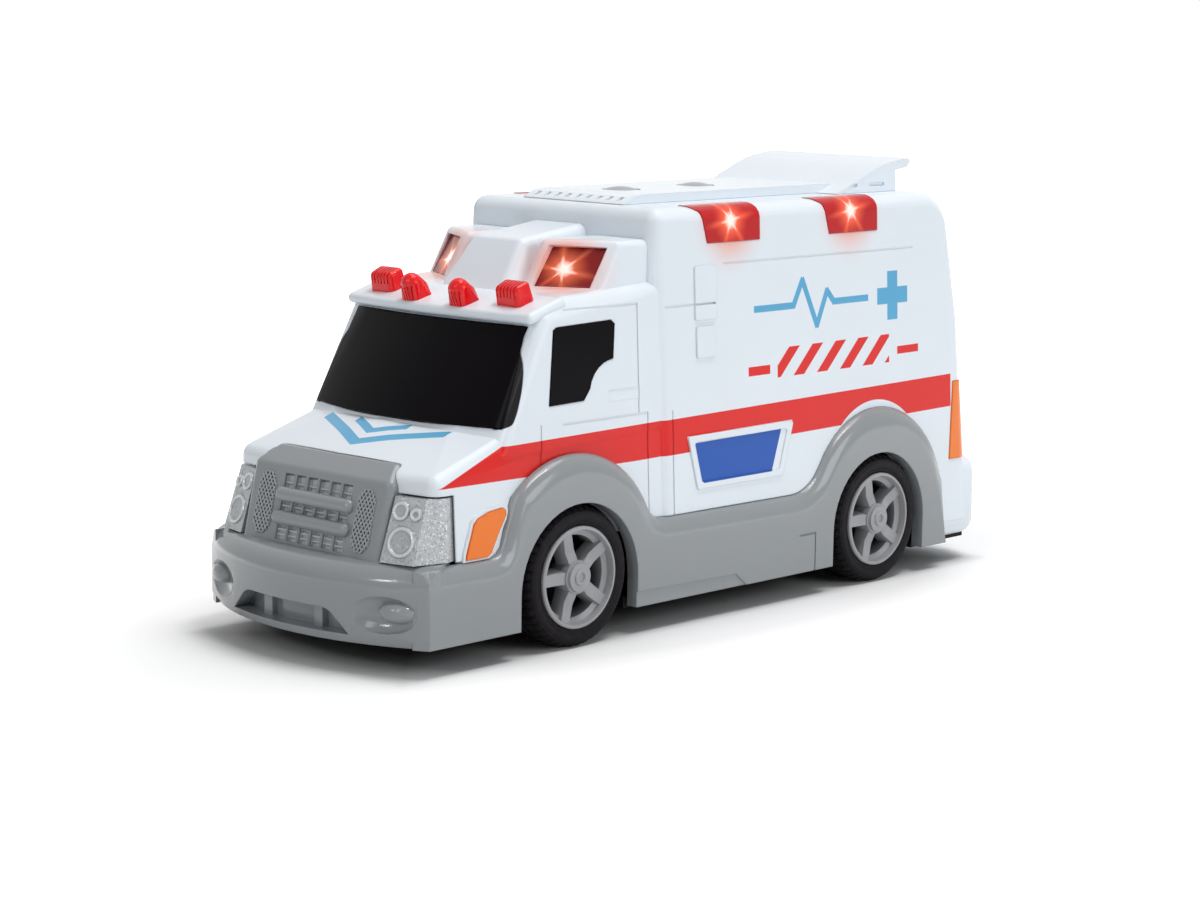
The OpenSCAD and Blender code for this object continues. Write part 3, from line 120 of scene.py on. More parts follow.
def scale_vector(tree, vector, factor):
    made = add(tree, "VectorMath", operation="SCALE")
    put(tree, made.inputs[0], vector)
    put(tree, made.inputs["Scale"], factor)
    return made.outputs["Vector"]


def join_xyz(tree, *values):
    made = add(tree, "CombineXYZ")
    put_all(tree, made.inputs, values)
    return made.outputs[0]


def remap(tree, value, low, high, to_low=0.0, to_high=1.0):
    made = add(tree, "MapRange")
    put_all(tree, made.inputs, (value, low, high, to_low, to_high))
    return made.outputs[0]


print("sums that give a number:", NUMBER_RESULTS)

# %% [markdown]
# Places, patterns and new materials
#
# A finish has to know where on the toy it is. Object coordinates tell it, because every piece sits at
# the origin, and in millimetres the numbers match a ruler. Y is folded over at the middle, so one drawing
# serves both sides. UV maps could do the same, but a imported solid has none.

# %% Places, patterns and new materials
def position_mm(tree):
    """Object coordinates in millimetres: the vector, X, Y folded so that both sides match, and Z."""
    place = scale_vector(tree, add(tree, "TexCoord").outputs["Object"], 1 / MM)
    parts = add(tree, "SeparateXYZ")
    put(tree, parts.inputs[0], place)
    x, y, z = parts.outputs
    return place, x, calc(tree, "ABSOLUTE", y), z


def noise(tree, vector, scale, detail=3.0):
    made = add(tree, "TexNoise")
    put(tree, made.inputs["Vector"], vector)
    made.inputs["Scale"].default_value = scale
    made.inputs["Detail"].default_value = detail
    return made.outputs[0]


def bump(tree, height, normal, strength, distance):
    """A Bump node. Its distance is in millimetres."""
    made = add(tree, "Bump")
    put(tree, made.inputs["Strength"], strength)
    put(tree, made.inputs["Distance"], distance * MM)
    put(tree, made.inputs["Height"], height)
    put(tree, made.inputs["Normal"], normal)
    return made.outputs[0]


def new_group(name, inputs, outputs):
    """A node group with named inputs (name, type, default) and outputs (name, type)."""
    tree = bpy.data.node_groups.new(name, "ShaderNodeTree")
    for label, kind, default in inputs:
        socket = tree.interface.new_socket(label, in_out="INPUT", socket_type="NodeSocket" + kind)
        socket.default_value = default
    for label, kind in outputs:
        tree.interface.new_socket(label, in_out="OUTPUT", socket_type="NodeSocket" + kind)
    return tree, tree.nodes.new("NodeGroupInput").outputs, tree.nodes.new("NodeGroupOutput").inputs


def new_material(name):
    made = bpy.data.materials.new(name)
    made.use_nodes = True
    tree = made.node_tree
    return made, tree, tree.nodes["Principled BSDF"].inputs


print("finishes are drawn in millimetres, 1 mm =", MM, "m")

# %% [markdown]
# The moulded finish
#
# Every plastic piece comes out of a mould: its edges carry a tiny radius that catches a line of light,
# its colour drifts very slightly, and handling leaves a little uneven gloss. Each piece could have its own
# painted texture, but nodes stay sharp at any distance. All the plastics share the effect, so it is a
# node group, placed in each material with its own values.

# %% Moulded finish group
DRIFT_SCALE, GRAIN_SCALE, GRAIN_STRENGTH = 0.05, 1.7, 0.5
SMUDGE_FROM, SMUDGE_FULL = 0.25, 0.8
EDGE_SAMPLES = 6


def make_moulded_finish():
    tree, given, result = new_group("moulded_finish",
        [("Color", "Color", (0.8, 0.8, 0.8, 1)), ("Drift", "Float", 0.05), ("Gloss", "Float", 0.25),
         ("Smudge", "Float", 0.08), ("Edge Radius", "Float", 0.25), ("Grain", "Float", 0.02)],
        [("Color", "Color"), ("Roughness", "Float"), ("Normal", "Vector")])
    place = position_mm(tree)[0]
    slow = noise(tree, place, DRIFT_SCALE, detail=2.0)
    fine = noise(tree, place, GRAIN_SCALE, detail=4.0)
    shade = calc(tree, "MULTIPLY_ADD", calc(tree, "SUBTRACT", slow, 0.5), given["Drift"], 1.0)
    smudge = calc(tree, "MULTIPLY", remap(tree, slow, SMUDGE_FROM, SMUDGE_FULL), given["Smudge"])
    bevel = add(tree, "Bevel", samples=EDGE_SAMPLES)
    put(tree, bevel.inputs["Radius"], calc(tree, "MULTIPLY", given["Edge Radius"], MM))
    grain = calc(tree, "MULTIPLY", fine, given["Grain"])
    put(tree, result["Color"], scale_vector(tree, given["Color"], shade))
    put(tree, result["Roughness"], calc(tree, "ADD", given["Gloss"], smudge))
    put(tree, result["Normal"], bump(tree, grain, bevel.outputs[0], GRAIN_STRENGTH, 1.0))
    return tree


moulded_finish = make_moulded_finish()
print("moulded finish:", len(moulded_finish.nodes), "nodes")

# %% The finish in a material
def mould(tree, principled, colour, **values):
    """Puts the moulded finish in a material and wires it to the shader."""
    made = add(tree, "Group", node_tree=moulded_finish)
    put(tree, made.inputs["Color"], colour)
    for key, value in values.items():
        made.inputs[key.replace("_", " ").title()].default_value = value
    for name, socket in (("Color", "Base Color"), ("Roughness", "Roughness"), ("Normal", "Normal")):
        tree.links.new(made.outputs[name], principled[socket])
    return made


print("its values:", [item.name for item in moulded_finish.interface.items_tree if item.in_out == "INPUT"])

# %% [markdown]
# Lamp glow
#
# Two lamps shine in each roof edge and one in each beacon pod. Behind a clear red lens a small lamp
# shows as a white-hot core with short rays, then orange, then deep red, and a little of the light
# spills on the white beside it. Real lights behind glass could do this, but they are slow and an export
# loses them. Lens and shell both need the effect, so it is a group that gives three masks from the distance
# to the nearest lamp. It reads places on the toy only, so it stays put in any view.

# %% Lamp glow group
SIDE_LAMPS = [(-2.9, 22.2, 65.6), (-34.5, 22.2, 65.9)]
BEACON = (27.0, 13.1, 58.4)
RAY_PAIRS, RAY_TURN, RAY_SHARPNESS = 3.0, 0.5, 10.0
BETWEEN_RAYS, ALONG_RAYS = 1.15, -0.42
CORE_REACH, HALO_REACH, SPILL_REACH = (1.9, 0.8), (5.2, 1.2), (10.0, 4.0)
HALO_FALL, SPILL_FALL = 1.7, 2.0


def make_lamp_glow():
    tree, _, result = new_group("lamp_glow", [], [("Core", "Float"), ("Halo", "Float"), ("Spill", "Float")])
    _, x, y, z = position_mm(tree)
    folded = join_xyz(tree, x, y, z)
    starred, plain = [], []
    for lamp, across, centre in [(lamp, x, lamp[0]) for lamp in SIDE_LAMPS] + [(BEACON, y, BEACON[1])]:
        away = vector_calc(tree, "DISTANCE", folded, lamp)
        up, along = calc(tree, "SUBTRACT", z, lamp[2]), calc(tree, "SUBTRACT", across, centre)
        turned = calc(tree, "MULTIPLY_ADD", calc(tree, "ARCTAN2", up, along), RAY_PAIRS, RAY_TURN)
        wave = calc(tree, "ABSOLUTE", calc(tree, "COSINE", turned))
        ray = calc(tree, "POWER", wave, RAY_SHARPNESS)
        stretch = calc(tree, "MULTIPLY_ADD", ray, ALONG_RAYS, BETWEEN_RAYS)
        starred.append(calc(tree, "MULTIPLY", away, stretch))
        plain.append(away)
    star, near = chain(tree, "MINIMUM", *starred), chain(tree, "MINIMUM", *plain)
    put(tree, result["Core"], remap(tree, star, *CORE_REACH))
    put(tree, result["Halo"], calc(tree, "POWER", remap(tree, star, *HALO_REACH), HALO_FALL))
    put(tree, result["Spill"], calc(tree, "POWER", remap(tree, near, *SPILL_REACH), SPILL_FALL))
    return tree


lamp_glow = make_lamp_glow()
print("lamp glow:", len(lamp_glow.nodes), "nodes")

# %% [markdown]
# Masks for the prints
#
# The prints are flat shapes with straight edges. They could be pictures laid on the sides, but a picture
# blurs close up. So each shape is an outline in millimetres: a node finds how far a point lies inside
# every edge, the smallest of these counts, and a very narrow ramp turns it into a crisp mask.

# %% Masks from outlines
EDGE_SOFT, SHARP_CORNER = 0.05, 0.05
STROKE_OVERLAP = 0.6


def crisp(tree, reach, soft=EDGE_SOFT):
    return remap(tree, reach, -soft, soft)


def inside_polygon(tree, flat, corners, corner_r):
    """Distance into a convex outline, positive inside, in millimetres. Corners may run either way round."""
    sides = list(zip(corners, corners[1:] + corners[:1]))
    turn = 1 if sum(a[0] * b[1] - b[0] * a[1] for a, b in sides) > 0 else -1
    reach = None
    for a, b in sides:
        dx, dz = b[0] - a[0], b[1] - a[1]
        length = math.hypot(dx, dz)
        nx, nz = -dz / length * turn, dx / length * turn
        side = vector_calc(tree, "DOT_PRODUCT", flat, (nx, nz, -(nx * a[0] + nz * a[1])))
        reach = side if reach is None else calc(tree, "SMOOTH_MIN", reach, side, corner_r)
    return reach


def outline_mask(tree, flat, corners, corner_r=SHARP_CORNER):
    """Flat is (across, up, 1), so that one dot product gives the distance to an edge."""
    return crisp(tree, inside_polygon(tree, flat, corners, corner_r))


def rectangle(cx, cz, half_x, half_z):
    return [(cx - half_x, cz - half_z), (cx + half_x, cz - half_z),
            (cx + half_x, cz + half_z), (cx - half_x, cz + half_z)]


def ribbon(a, b, width):
    """Outline of a straight stroke from a to b, a little longer than the stroke so that joints close."""
    start, end = Vector(a), Vector(b)
    along = (end - start).normalized() * width / 2
    beside = Vector((-along.y, along.x))
    start, end = start - along * STROKE_OVERLAP, end + along * STROKE_OVERLAP
    return [tuple(corner) for corner in (start + beside, end + beside, end - beside, start - beside)]


def blend_colour(tree, mask, below, above):
    """Lays one colour over another. The Mix node's colour sockets are inputs 6 and 7 and output 2."""
    made = add(tree, "Mix", data_type="RGBA")
    put_all(tree, (made.inputs[0], made.inputs[6], made.inputs[7]), (mask, below, above))
    return made.outputs[2]


print("print edges are", EDGE_SOFT, "mm soft")

# %% [markdown]
# Paint and prints on the white shell
#
# The stripe, the blue panel and the slanted bars are printed on the flat, leaning sides, so their outlines
# are drawn in the side view. The sky-blue motif is a plain pulse line with a plus sign, the hood carries
# two chevrons drawn in the top view, and the pillar beside the windscreen is black along its front edge,
# so that the glazing seems to wrap round. Thin extra pieces could carry the prints, but paint is flat.

# %% Colours and outlines of the prints
WHITE = (0.82, 0.88, 0.94, 1)
STRIPE_RED = (0.77, 0.018, 0.014, 1)
PANEL_BLUE = (0.012, 0.095, 0.45, 1)
SKY_BLUE = (0.11, 0.42, 0.68, 1)
SPILL_RED, SPILL_SHARE = (0.95, 0.40, 0.30, 1), 0.75
PILLAR_BLACK = (0.006, 0.005, 0.0065, 1)

STRIPE = [(63.7, 28.3), (49.9, 33.4), (-63.2, 35.05), (-63.2, 29.15), (20, 28.0)]
PANEL_FRAME, FRAME_CORNER = [(8.5, 30.8), (-18.4, 31.0), (-15.4, 21.8), (6.3, 21.8)], 0.5
PANEL, PANEL_CORNER = [(6.7, 29.55), (-15.3, 29.8), (-12.7, 22.8), (5.0, 22.75)], 0.6
REAR_ARCH, REAR_ARCH_R = (-41.0, 18.1, 1.0), 14.2
BAR_BOX = [(-14.6, 38.5), (-14.6, 43.5), (-45.2, 43.6), (-45.2, 38.6)]
BAR_PITCH, BAR_SLANT, BAR_START, BAR_SHARE, BAR_SOFT = 6.25, 1.04, 2.04, 0.46, 0.008
DASHES = [[(-7.1, 39.3), (-7.1, 40.85), (-12.7, 40.85), (-12.7, 39.3)],
          [(-47.5, 39.85), (-47.5, 41.25), (-53.6, 41.3), (-53.6, 39.9)]]
PULSE = [(-9, 50.4), (-19, 50.4), (-21.4, 54.6), (-25.2, 46.6), (-28, 52.4), (-29.8, 50.4), (-39, 50.4)]
PULSE_W = 1.15
PLUS_AT, PLUS_ARM, PLUS_HALF, PLUS_CORNER = (-46.2, 50.4), 4.3, 1.45, 0.2
CHEVRONS = [[(61.6, -1), (59.7, -1), (52.4, 14.0), (54.3, 14.0)],
            [(58.2, -1), (56.7, -1), (53.3, 6.0), (54.8, 6.0)]]
PILLAR = [(49.9, 35.6), (47.9, 36.5), (46.2, 39.2), (45.3, 42.2), (41.8, 51.0), (43.6, 51.0)]
PILLAR_CORNER, PILLAR_Y = 0.4, 19.5
SIDE_Y, HOOD_Z = 22.0, 30.5
print("pulse line:", len(PULSE) - 1, "strokes, dashes:", len(DASHES), "chevrons:", len(CHEVRONS))

# %% Shell paint
SHELL_SHINE = 0.22
SHELL_FINISH = dict(drift=0.03, gloss=0.22, smudge=0.05, edge_radius=0.3, grain=0.012)


def red_print(tree, side_view, x, z):
    """Stripe, kept off the panel's frame and off a narrow margin round the rear arch, bars and dashes."""
    from_arch = vector_calc(tree, "DISTANCE", side_view, REAR_ARCH)
    off_arch = crisp(tree, calc(tree, "SUBTRACT", from_arch, REAR_ARCH_R))
    off_frame = calc(tree, "SUBTRACT", 1.0, outline_mask(tree, side_view, PANEL_FRAME, FRAME_CORNER))
    stripe = chain(tree, "MULTIPLY", outline_mask(tree, side_view, STRIPE), off_arch, off_frame)
    slide = calc(tree, "MULTIPLY_ADD", z, BAR_SLANT, calc(tree, "ADD", x, BAR_START))
    phase = calc(tree, "FRACT", calc(tree, "DIVIDE", slide, BAR_PITCH))
    off_middle = calc(tree, "ABSOLUTE", calc(tree, "SUBTRACT", phase, 0.5))
    bar = crisp(tree, calc(tree, "SUBTRACT", BAR_SHARE / 2, off_middle), BAR_SOFT)
    bars = calc(tree, "MULTIPLY", bar, outline_mask(tree, side_view, BAR_BOX))
    return chain(tree, "MAXIMUM", stripe, bars, *[outline_mask(tree, side_view, dash) for dash in DASHES])


def sky_print(tree, side_view):
    """Pulse line and plus sign."""
    strokes = [outline_mask(tree, side_view, ribbon(a, b, PULSE_W)) for a, b in zip(PULSE, PULSE[1:])]
    plus = [outline_mask(tree, side_view, rectangle(*PLUS_AT, *arms), PLUS_CORNER)
            for arms in ((PLUS_ARM, PLUS_HALF), (PLUS_HALF, PLUS_ARM))]
    return chain(tree, "MAXIMUM", *strokes, *plus)


def make_shell_paint():
    made, tree, principled = new_material("shell_paint")
    _, x, y, z = position_mm(tree)
    side_view, top_view = join_xyz(tree, x, z, 1.0), join_xyz(tree, x, y, 1.0)
    on_side = calc(tree, "GREATER_THAN", y, SIDE_Y)
    on_hood = calc(tree, "GREATER_THAN", z, HOOD_Z)
    on_pillar = calc(tree, "GREATER_THAN", y, PILLAR_Y)
    hood = chain(tree, "MAXIMUM", *[outline_mask(tree, top_view, chevron) for chevron in CHEVRONS])
    glow = add(tree, "Group", node_tree=lamp_glow)
    spill = calc(tree, "MULTIPLY", glow.outputs["Spill"], SPILL_SHARE)
    colour = blend_colour(tree, spill, WHITE, SPILL_RED)
    for mask, where, ink in (
            (red_print(tree, side_view, x, z), on_side, STRIPE_RED),
            (outline_mask(tree, side_view, PANEL, PANEL_CORNER), on_side, PANEL_BLUE),
            (sky_print(tree, side_view), on_side, SKY_BLUE),
            (hood, on_hood, SKY_BLUE),
            (outline_mask(tree, side_view, PILLAR, PILLAR_CORNER), on_pillar, PILLAR_BLACK)):
        colour = blend_colour(tree, calc(tree, "MULTIPLY", mask, where), colour, ink)
    mould(tree, principled, colour, **SHELL_FINISH)
    principled["Specular IOR Level"].default_value = SHELL_SHINE
    return made


shell_paint = make_shell_paint()
print("shell paint:", len(shell_paint.node_tree.nodes), "nodes")

# %% [markdown]
# Plain moulded plastics
#
# The roof panel, the buttons, the liner, the chassis and the glazing are plain mouldings that differ in
# colour and gloss. Each could have a node tree of its own, but then a change to one would miss the
# others, so one function makes them all from the moulded finish.

# %% Plain plastics
def make_plastic(name, colour, specular=0.5, **values):
    made, tree, principled = new_material(name)
    mould(tree, principled, (*colour, 1), **values)
    principled["Specular IOR Level"].default_value = specular
    return made


white_plastic = make_plastic("white_plastic", WHITE[:3], SHELL_SHINE, **SHELL_FINISH)
button_grey = make_plastic("button_grey", (0.36, 0.375, 0.39),
    drift=0.05, gloss=0.3, smudge=0.06, edge_radius=0.15, grain=0.02)
liner_grey = make_plastic("liner_grey", (0.5, 0.51, 0.52),
    drift=0.06, gloss=0.45, smudge=0.1, edge_radius=0.15, grain=0.06)
chassis_black = make_plastic("chassis_black", (0.008, 0.008, 0.009), 0.12,
    drift=0.3, gloss=0.5, smudge=0.15, edge_radius=0.15, grain=0.12)
glazing_black = make_plastic("glazing_black", (0.003, 0.002, 0.0032), 0.04,
    drift=0.2, gloss=0.12, smudge=0.03, edge_radius=0.2, grain=0.004)
amber_plastic = make_plastic("amber_plastic", (0.92, 0.195, 0.008), 0.35,
    drift=0.08, gloss=0.2, smudge=0.06, edge_radius=0.25, grain=0.02)
led_resin = make_plastic("led_resin", (0.85, 0.8, 0.72),
    drift=0.05, gloss=0.15, smudge=0.05, edge_radius=0.05, grain=0.0)
print("materials so far:", [material.name for material in bpy.data.materials])

# %% [markdown]
# Wheel rims
#
# The rims are grey with a faint metallic look, and shadow makes the deep barrel behind the spokes nearly
# black. Rendered shadow alone could darken it, but not enough under soft light, so that shade is painted:
# depth is measured along the axle, and the painted shade darkens from the spokes inward and stays right
# as the wheel turns.

# %% Wheel rims
RIM_GREY, RECESS_SHADE_BLACK = (0.34, 0.345, 0.36, 1), (0.012, 0.012, 0.013, 1)
SPOKE_Y, RECESS_Y, RIM_SHINE = 23.7, 20.6, 0.4


def make_rim_grey():
    made, tree, principled = new_material("rim_grey")
    _, _, y, _ = position_mm(tree)
    # painted shade: the barrel darkens from the spokes inward to near black, by depth along the axle
    colour = blend_colour(tree, remap(tree, y, SPOKE_Y, RECESS_Y), RIM_GREY, RECESS_SHADE_BLACK)
    mould(tree, principled, colour, drift=0.05, gloss=0.3, smudge=0.06, edge_radius=0.15, grain=0.03)
    principled["Specular IOR Level"].default_value = RIM_SHINE
    return made


rim_grey = make_rim_grey()
print("rim grey:", len(rim_grey.node_tree.nodes), "nodes")

# %% [markdown]
# The grey lower body
#
# Beside the plain grey moulding, the grille carries slots and two upright ovals filled with a diamond
# mesh, which is made further on as small bars. Light reaches into these recesses, so they never go black.
# A translucent shader could let light in, but it is noisy in such small holes, so that light is painted:
# a paler grey wherever a point lies behind the grille's leaning face.

# %% Grey lower body
BODY_GREY, RECESS_PAINTED_LIGHT_GREY, MESH_PAINTED_LIGHT_GREY = (0.27, 0.29, 0.302, 1), (0.64, 0.67, 0.69, 1), (0.37, 0.395, 0.41)
GRILLE_FOOT, GRILLE_LEAN = (70.3, 0.0, 17.0), math.radians(14)
RECESS_FROM, RECESS_FULL = -0.58, -0.74
RECESS_HALF, RECESS_TOP, RECESS_FRONT = 13.7, 27.0, 62.0


def make_body_grey():
    made, tree, principled = new_material("body_grey")
    place, x, y, z = position_mm(tree)
    facing = Vector((math.cos(GRILLE_LEAN), 0, math.sin(GRILLE_LEAN)))
    along_facing = vector_calc(tree, "DOT_PRODUCT", place, facing)
    height = calc(tree, "SUBTRACT", along_facing, facing.dot(GRILLE_FOOT))
    # painted light: a paler grey behind the grille's leaning face stands for light reaching into the slots
    painted_light = chain(tree, "MULTIPLY", remap(tree, height, RECESS_FROM, RECESS_FULL),
        calc(tree, "GREATER_THAN", x, RECESS_FRONT), calc(tree, "LESS_THAN", y, RECESS_HALF),
        calc(tree, "LESS_THAN", z, RECESS_TOP), calc(tree, "GREATER_THAN", z, GRILLE_FOOT[2]))
    colour = blend_colour(tree, painted_light, BODY_GREY, RECESS_PAINTED_LIGHT_GREY)
    mould(tree, principled, colour, drift=0.04, gloss=0.13, smudge=0.02, edge_radius=0.3, grain=0.012)
    return made


body_grey = make_body_grey()
# painted light: the mesh bars are the bumper's grey, painted paler for the light they catch
mesh_grey_painted_light = make_plastic("mesh_grey_painted_light", MESH_PAINTED_LIGHT_GREY,
    drift=0.04, gloss=0.16, smudge=0.02, edge_radius=0.05, grain=0.0)
print("grey body:", len(body_grey.node_tree.nodes), "nodes")

# %% [markdown]
# Silver headlights
#
# The clusters are moulded in grey plastic with metal flake. Plain noise could speckle them, but each flake
# is a tiny tilted mirror with hard edges, so a Voronoi pattern gives every cell its own brightness, and
# only the cells that pass a threshold show: dark specks, and bright cells that are painted glints of
# reflected light. The raised rings of the three round lamps carry a painted highlight with a band of
# painted shade round each, and the discs in them are somewhat darker.

# %% Silver flake
LAMP_RINGS = [((67.9, 19.25, 20.3), 2.1), ((66.73, 17.95, 24.8), 1.2), ((66.15, 20.65, 24.5), 0.75)]
SILVER, SILVER_DARK, SILVER_PAINTED_GLINT = (0.43, 0.45, 0.465, 1), (0.30, 0.312, 0.323, 1), (0.6, 0.62, 0.64, 1)
FLAKE_SCALE, FLAKE_WEIGHTS = 4.2, (0.5, 0.3, 0.2)
DARK_FLAKES, BRIGHT_FLAKES = (0.3, 0.24), (0.7, 0.78)
DISC_SHARE, RING_SHADE_SHARE, RING_SHADE_HALF, RING_HALF = 0.35, 0.55, 0.5, 0.24
RING_SHADE_SOFT, RING_SOFT = 0.12, 0.1
PLAIN_METAL, GLINT_METAL = 0.25, 0.2


def paint_lamp_ring(tree, colour, folded, centre, radius):
    """Darker disc, a band of painted shade round the ring, and the ring's painted highlight."""
    away = vector_calc(tree, "DISTANCE", folded, centre)
    disc = crisp(tree, calc(tree, "SUBTRACT", radius, away))
    off_ring = calc(tree, "ABSOLUTE", calc(tree, "SUBTRACT", away, radius))
    # the groove mask is painted shade round the raised ring's foot, and the ring mask is a painted
    # highlight
    groove = crisp(tree, calc(tree, "SUBTRACT", RING_SHADE_HALF, off_ring), RING_SHADE_SOFT)
    ring = crisp(tree, calc(tree, "SUBTRACT", RING_HALF, off_ring), RING_SOFT)
    colour = blend_colour(tree, calc(tree, "MULTIPLY", disc, DISC_SHARE), colour, SILVER_DARK)
    colour = blend_colour(tree, calc(tree, "MULTIPLY", groove, RING_SHADE_SHARE), colour, SILVER_DARK)
    return blend_colour(tree, ring, colour, SILVER_PAINTED_GLINT)


def make_silver_flake():
    made, tree, principled = new_material("silver_flake")
    place, x, y, z = position_mm(tree)
    cells = add(tree, "TexVoronoi")
    put(tree, cells.inputs["Vector"], place)
    cells.inputs["Scale"].default_value = FLAKE_SCALE
    shine = vector_calc(tree, "DOT_PRODUCT", cells.outputs["Color"], FLAKE_WEIGHTS)
    # painted glints: the brightest flake cells are made lighter, as if they reflect light
    painted_glint = remap(tree, shine, *BRIGHT_FLAKES)
    colour = blend_colour(tree, remap(tree, shine, *DARK_FLAKES), SILVER, SILVER_DARK)
    colour = blend_colour(tree, painted_glint, colour, SILVER_PAINTED_GLINT)
    folded = join_xyz(tree, x, y, z)
    for centre, radius in LAMP_RINGS:
        colour = paint_lamp_ring(tree, colour, folded, centre, radius)
    mould(tree, principled, colour, drift=0.03, gloss=0.16, smudge=0.03, edge_radius=0.2, grain=0.02)
    put(tree, principled["Metallic"], calc(tree, "MULTIPLY_ADD", painted_glint, GLINT_METAL, PLAIN_METAL))
    return made


silver_flake = make_silver_flake()
print("silver flake:", len(silver_flake.node_tree.nodes), "nodes")

# %% [markdown]
# Red lamps
#
# The lenses are tinted plastic, glossier than the shell, and light runs a little way inside them. Clear
# glass over a reflector could be modelled, but these toy lenses are nearly opaque, so a little subsurface
# light is enough. The glow of the lit ones comes from the lamp group: orange where the halo is, nearly
# white in the core. The beacons sit deep in their pods, so their red is painted darker as the shade there,
# and the four unlit marker lamps are a brighter red with ribs that stay sharp.

# %% Red lenses
LENS_RED, BEACON_SHADED_RED = (0.55, 0.005, 0.008, 1), (0.27, 0.004, 0.005, 1)
MARKER_RED = (0.88, 0.006, 0.01, 1)
GLOW_OFF, GLOW_ORANGE, GLOW_WHITE = (0.0, 0.0, 0.0, 1), (0.72, 0.18, 0.07, 1), (1.0, 0.93, 0.84, 1)
INNER_LIGHT, INNER_RADIUS, INNER_REACH = 0.15, (1.0, 0.1, 0.05), 1.5


def make_red_lens(name, colour, lit, specular, edge_radius):
    made, tree, principled = new_material(name)
    mould(tree, principled, colour, drift=0.12, gloss=0.1, smudge=0.04, edge_radius=edge_radius, grain=0.01)
    if lit:
        glow = add(tree, "Group", node_tree=lamp_glow)
        light = blend_colour(tree, glow.outputs["Halo"], GLOW_OFF, GLOW_ORANGE)
        light = blend_colour(tree, glow.outputs["Core"], light, GLOW_WHITE)
        put(tree, principled["Emission Color"], light)
        principled["Emission Strength"].default_value = 1.0
    principled["Specular IOR Level"].default_value = specular
    principled["Subsurface Weight"].default_value = INNER_LIGHT
    principled["Subsurface Radius"].default_value = INNER_RADIUS
    principled["Subsurface Scale"].default_value = INNER_REACH * MM
    return made


red_lens = make_red_lens("red_lens", LENS_RED, lit=True, specular=0.22, edge_radius=0.3)
# painted shade: the beacons' red is darker for the shade of their deep pods
beacon_red_shaded = make_red_lens("beacon_red_shaded", BEACON_SHADED_RED, lit=True, specular=0.22, edge_radius=0.3)
marker_red = make_red_lens("marker_red", MARKER_RED, lit=False, specular=0.26, edge_radius=0.06)
print("red lens:", len(red_lens.node_tree.nodes), "nodes")

# %% [markdown]
# Rubber
#
# Soft tyres are dull and slightly dusty, with fine rings on the wall. The rings are far too fine to be
# worth modelling, so they are bump that follows the distance from the axle, front or rear.

# %% Tyre rubber
AXLE_X, AXLE_Z = (35.3, -40.6), 11.3
RUBBER_BLACK, RUBBER_DUSTY, RUBBER_SHINE = (0.009, 0.0075, 0.009, 1), (0.017, 0.015, 0.0165, 1), 0.09
DUST_SCALE, DUST_FROM, DUST_FULL = 0.8, 0.5, 0.75
WALL_RING_STEP, WALL_RING_W, WALL_RING_HEIGHT = 0.75, 0.12, 0.35
WALL_RING_STRENGTH, WALL_RING_DEEP = 0.8, 0.3


def make_tyre_rubber():
    made, tree, principled = new_material("tyre_rubber")
    place, x, _, z = position_mm(tree)
    dust = remap(tree, noise(tree, place, DUST_SCALE, detail=5.0), DUST_FROM, DUST_FULL)
    colour = blend_colour(tree, dust, RUBBER_BLACK, RUBBER_DUSTY)
    finish = mould(tree, principled, colour, drift=0.2, gloss=0.46, smudge=0.1, edge_radius=0.2, grain=0.06)
    ahead = calc(tree, "GREATER_THAN", x, 0.0)
    across = calc(tree, "SUBTRACT", x, remap(tree, ahead, 0, 1, AXLE_X[1], AXLE_X[0]))
    up = calc(tree, "SUBTRACT", z, AXLE_Z)
    squares = calc(tree, "ADD", calc(tree, "MULTIPLY", across, across), calc(tree, "MULTIPLY", up, up))
    off_ring = calc(tree, "PINGPONG", calc(tree, "SQRT", squares), WALL_RING_STEP)
    rings = remap(tree, off_ring, 0.0, WALL_RING_W, WALL_RING_HEIGHT, 0.0)
    ringed = bump(tree, rings, finish.outputs["Normal"], WALL_RING_STRENGTH, WALL_RING_DEEP)
    put(tree, principled["Normal"], ringed)
    principled["Specular IOR Level"].default_value = RUBBER_SHINE
    return made


tyre_rubber = make_tyre_rubber()
print("tyre rubber:", len(tyre_rubber.node_tree.nodes), "nodes")

# %% [markdown]
# Steel and board
#
# The axles, screws and contacts are steel with fine turning lines round the axis, and the board has
# pale tracks under green lacquer. Both hide inside the toy or under it, so a stretched noise and a grid of
# wandering lines tell enough, where modelled tracks would only cost faces.

# %% Steel and board
STEEL_DARK, STEEL_PALE = (0.5, 0.5, 0.51, 1), (0.66, 0.66, 0.66, 1)
TURNING_STRETCH, TURNING_SCALE = (0.3, 9.0, 0.3), 1.2
LACQUER_GREEN, TRACK_GREEN = (0.01, 0.10, 0.035, 1), (0.03, 0.19, 0.07, 1)
TRACK_STEP, TRACK_HALF, WANDER, WANDER_SCALE = 1.3, 0.28, 2.0, 0.12


def make_steel():
    made, tree, principled = new_material("steel")
    lines = add(tree, "Mapping")
    put(tree, lines.inputs["Vector"], position_mm(tree)[0])
    lines.inputs["Scale"].default_value = TURNING_STRETCH
    turned = noise(tree, lines.outputs[0], TURNING_SCALE)
    colour = blend_colour(tree, turned, STEEL_DARK, STEEL_PALE)
    mould(tree, principled, colour, drift=0.05, gloss=0.28, smudge=0.1, edge_radius=0.1, grain=0.01)
    principled["Metallic"].default_value = 1.0
    return made


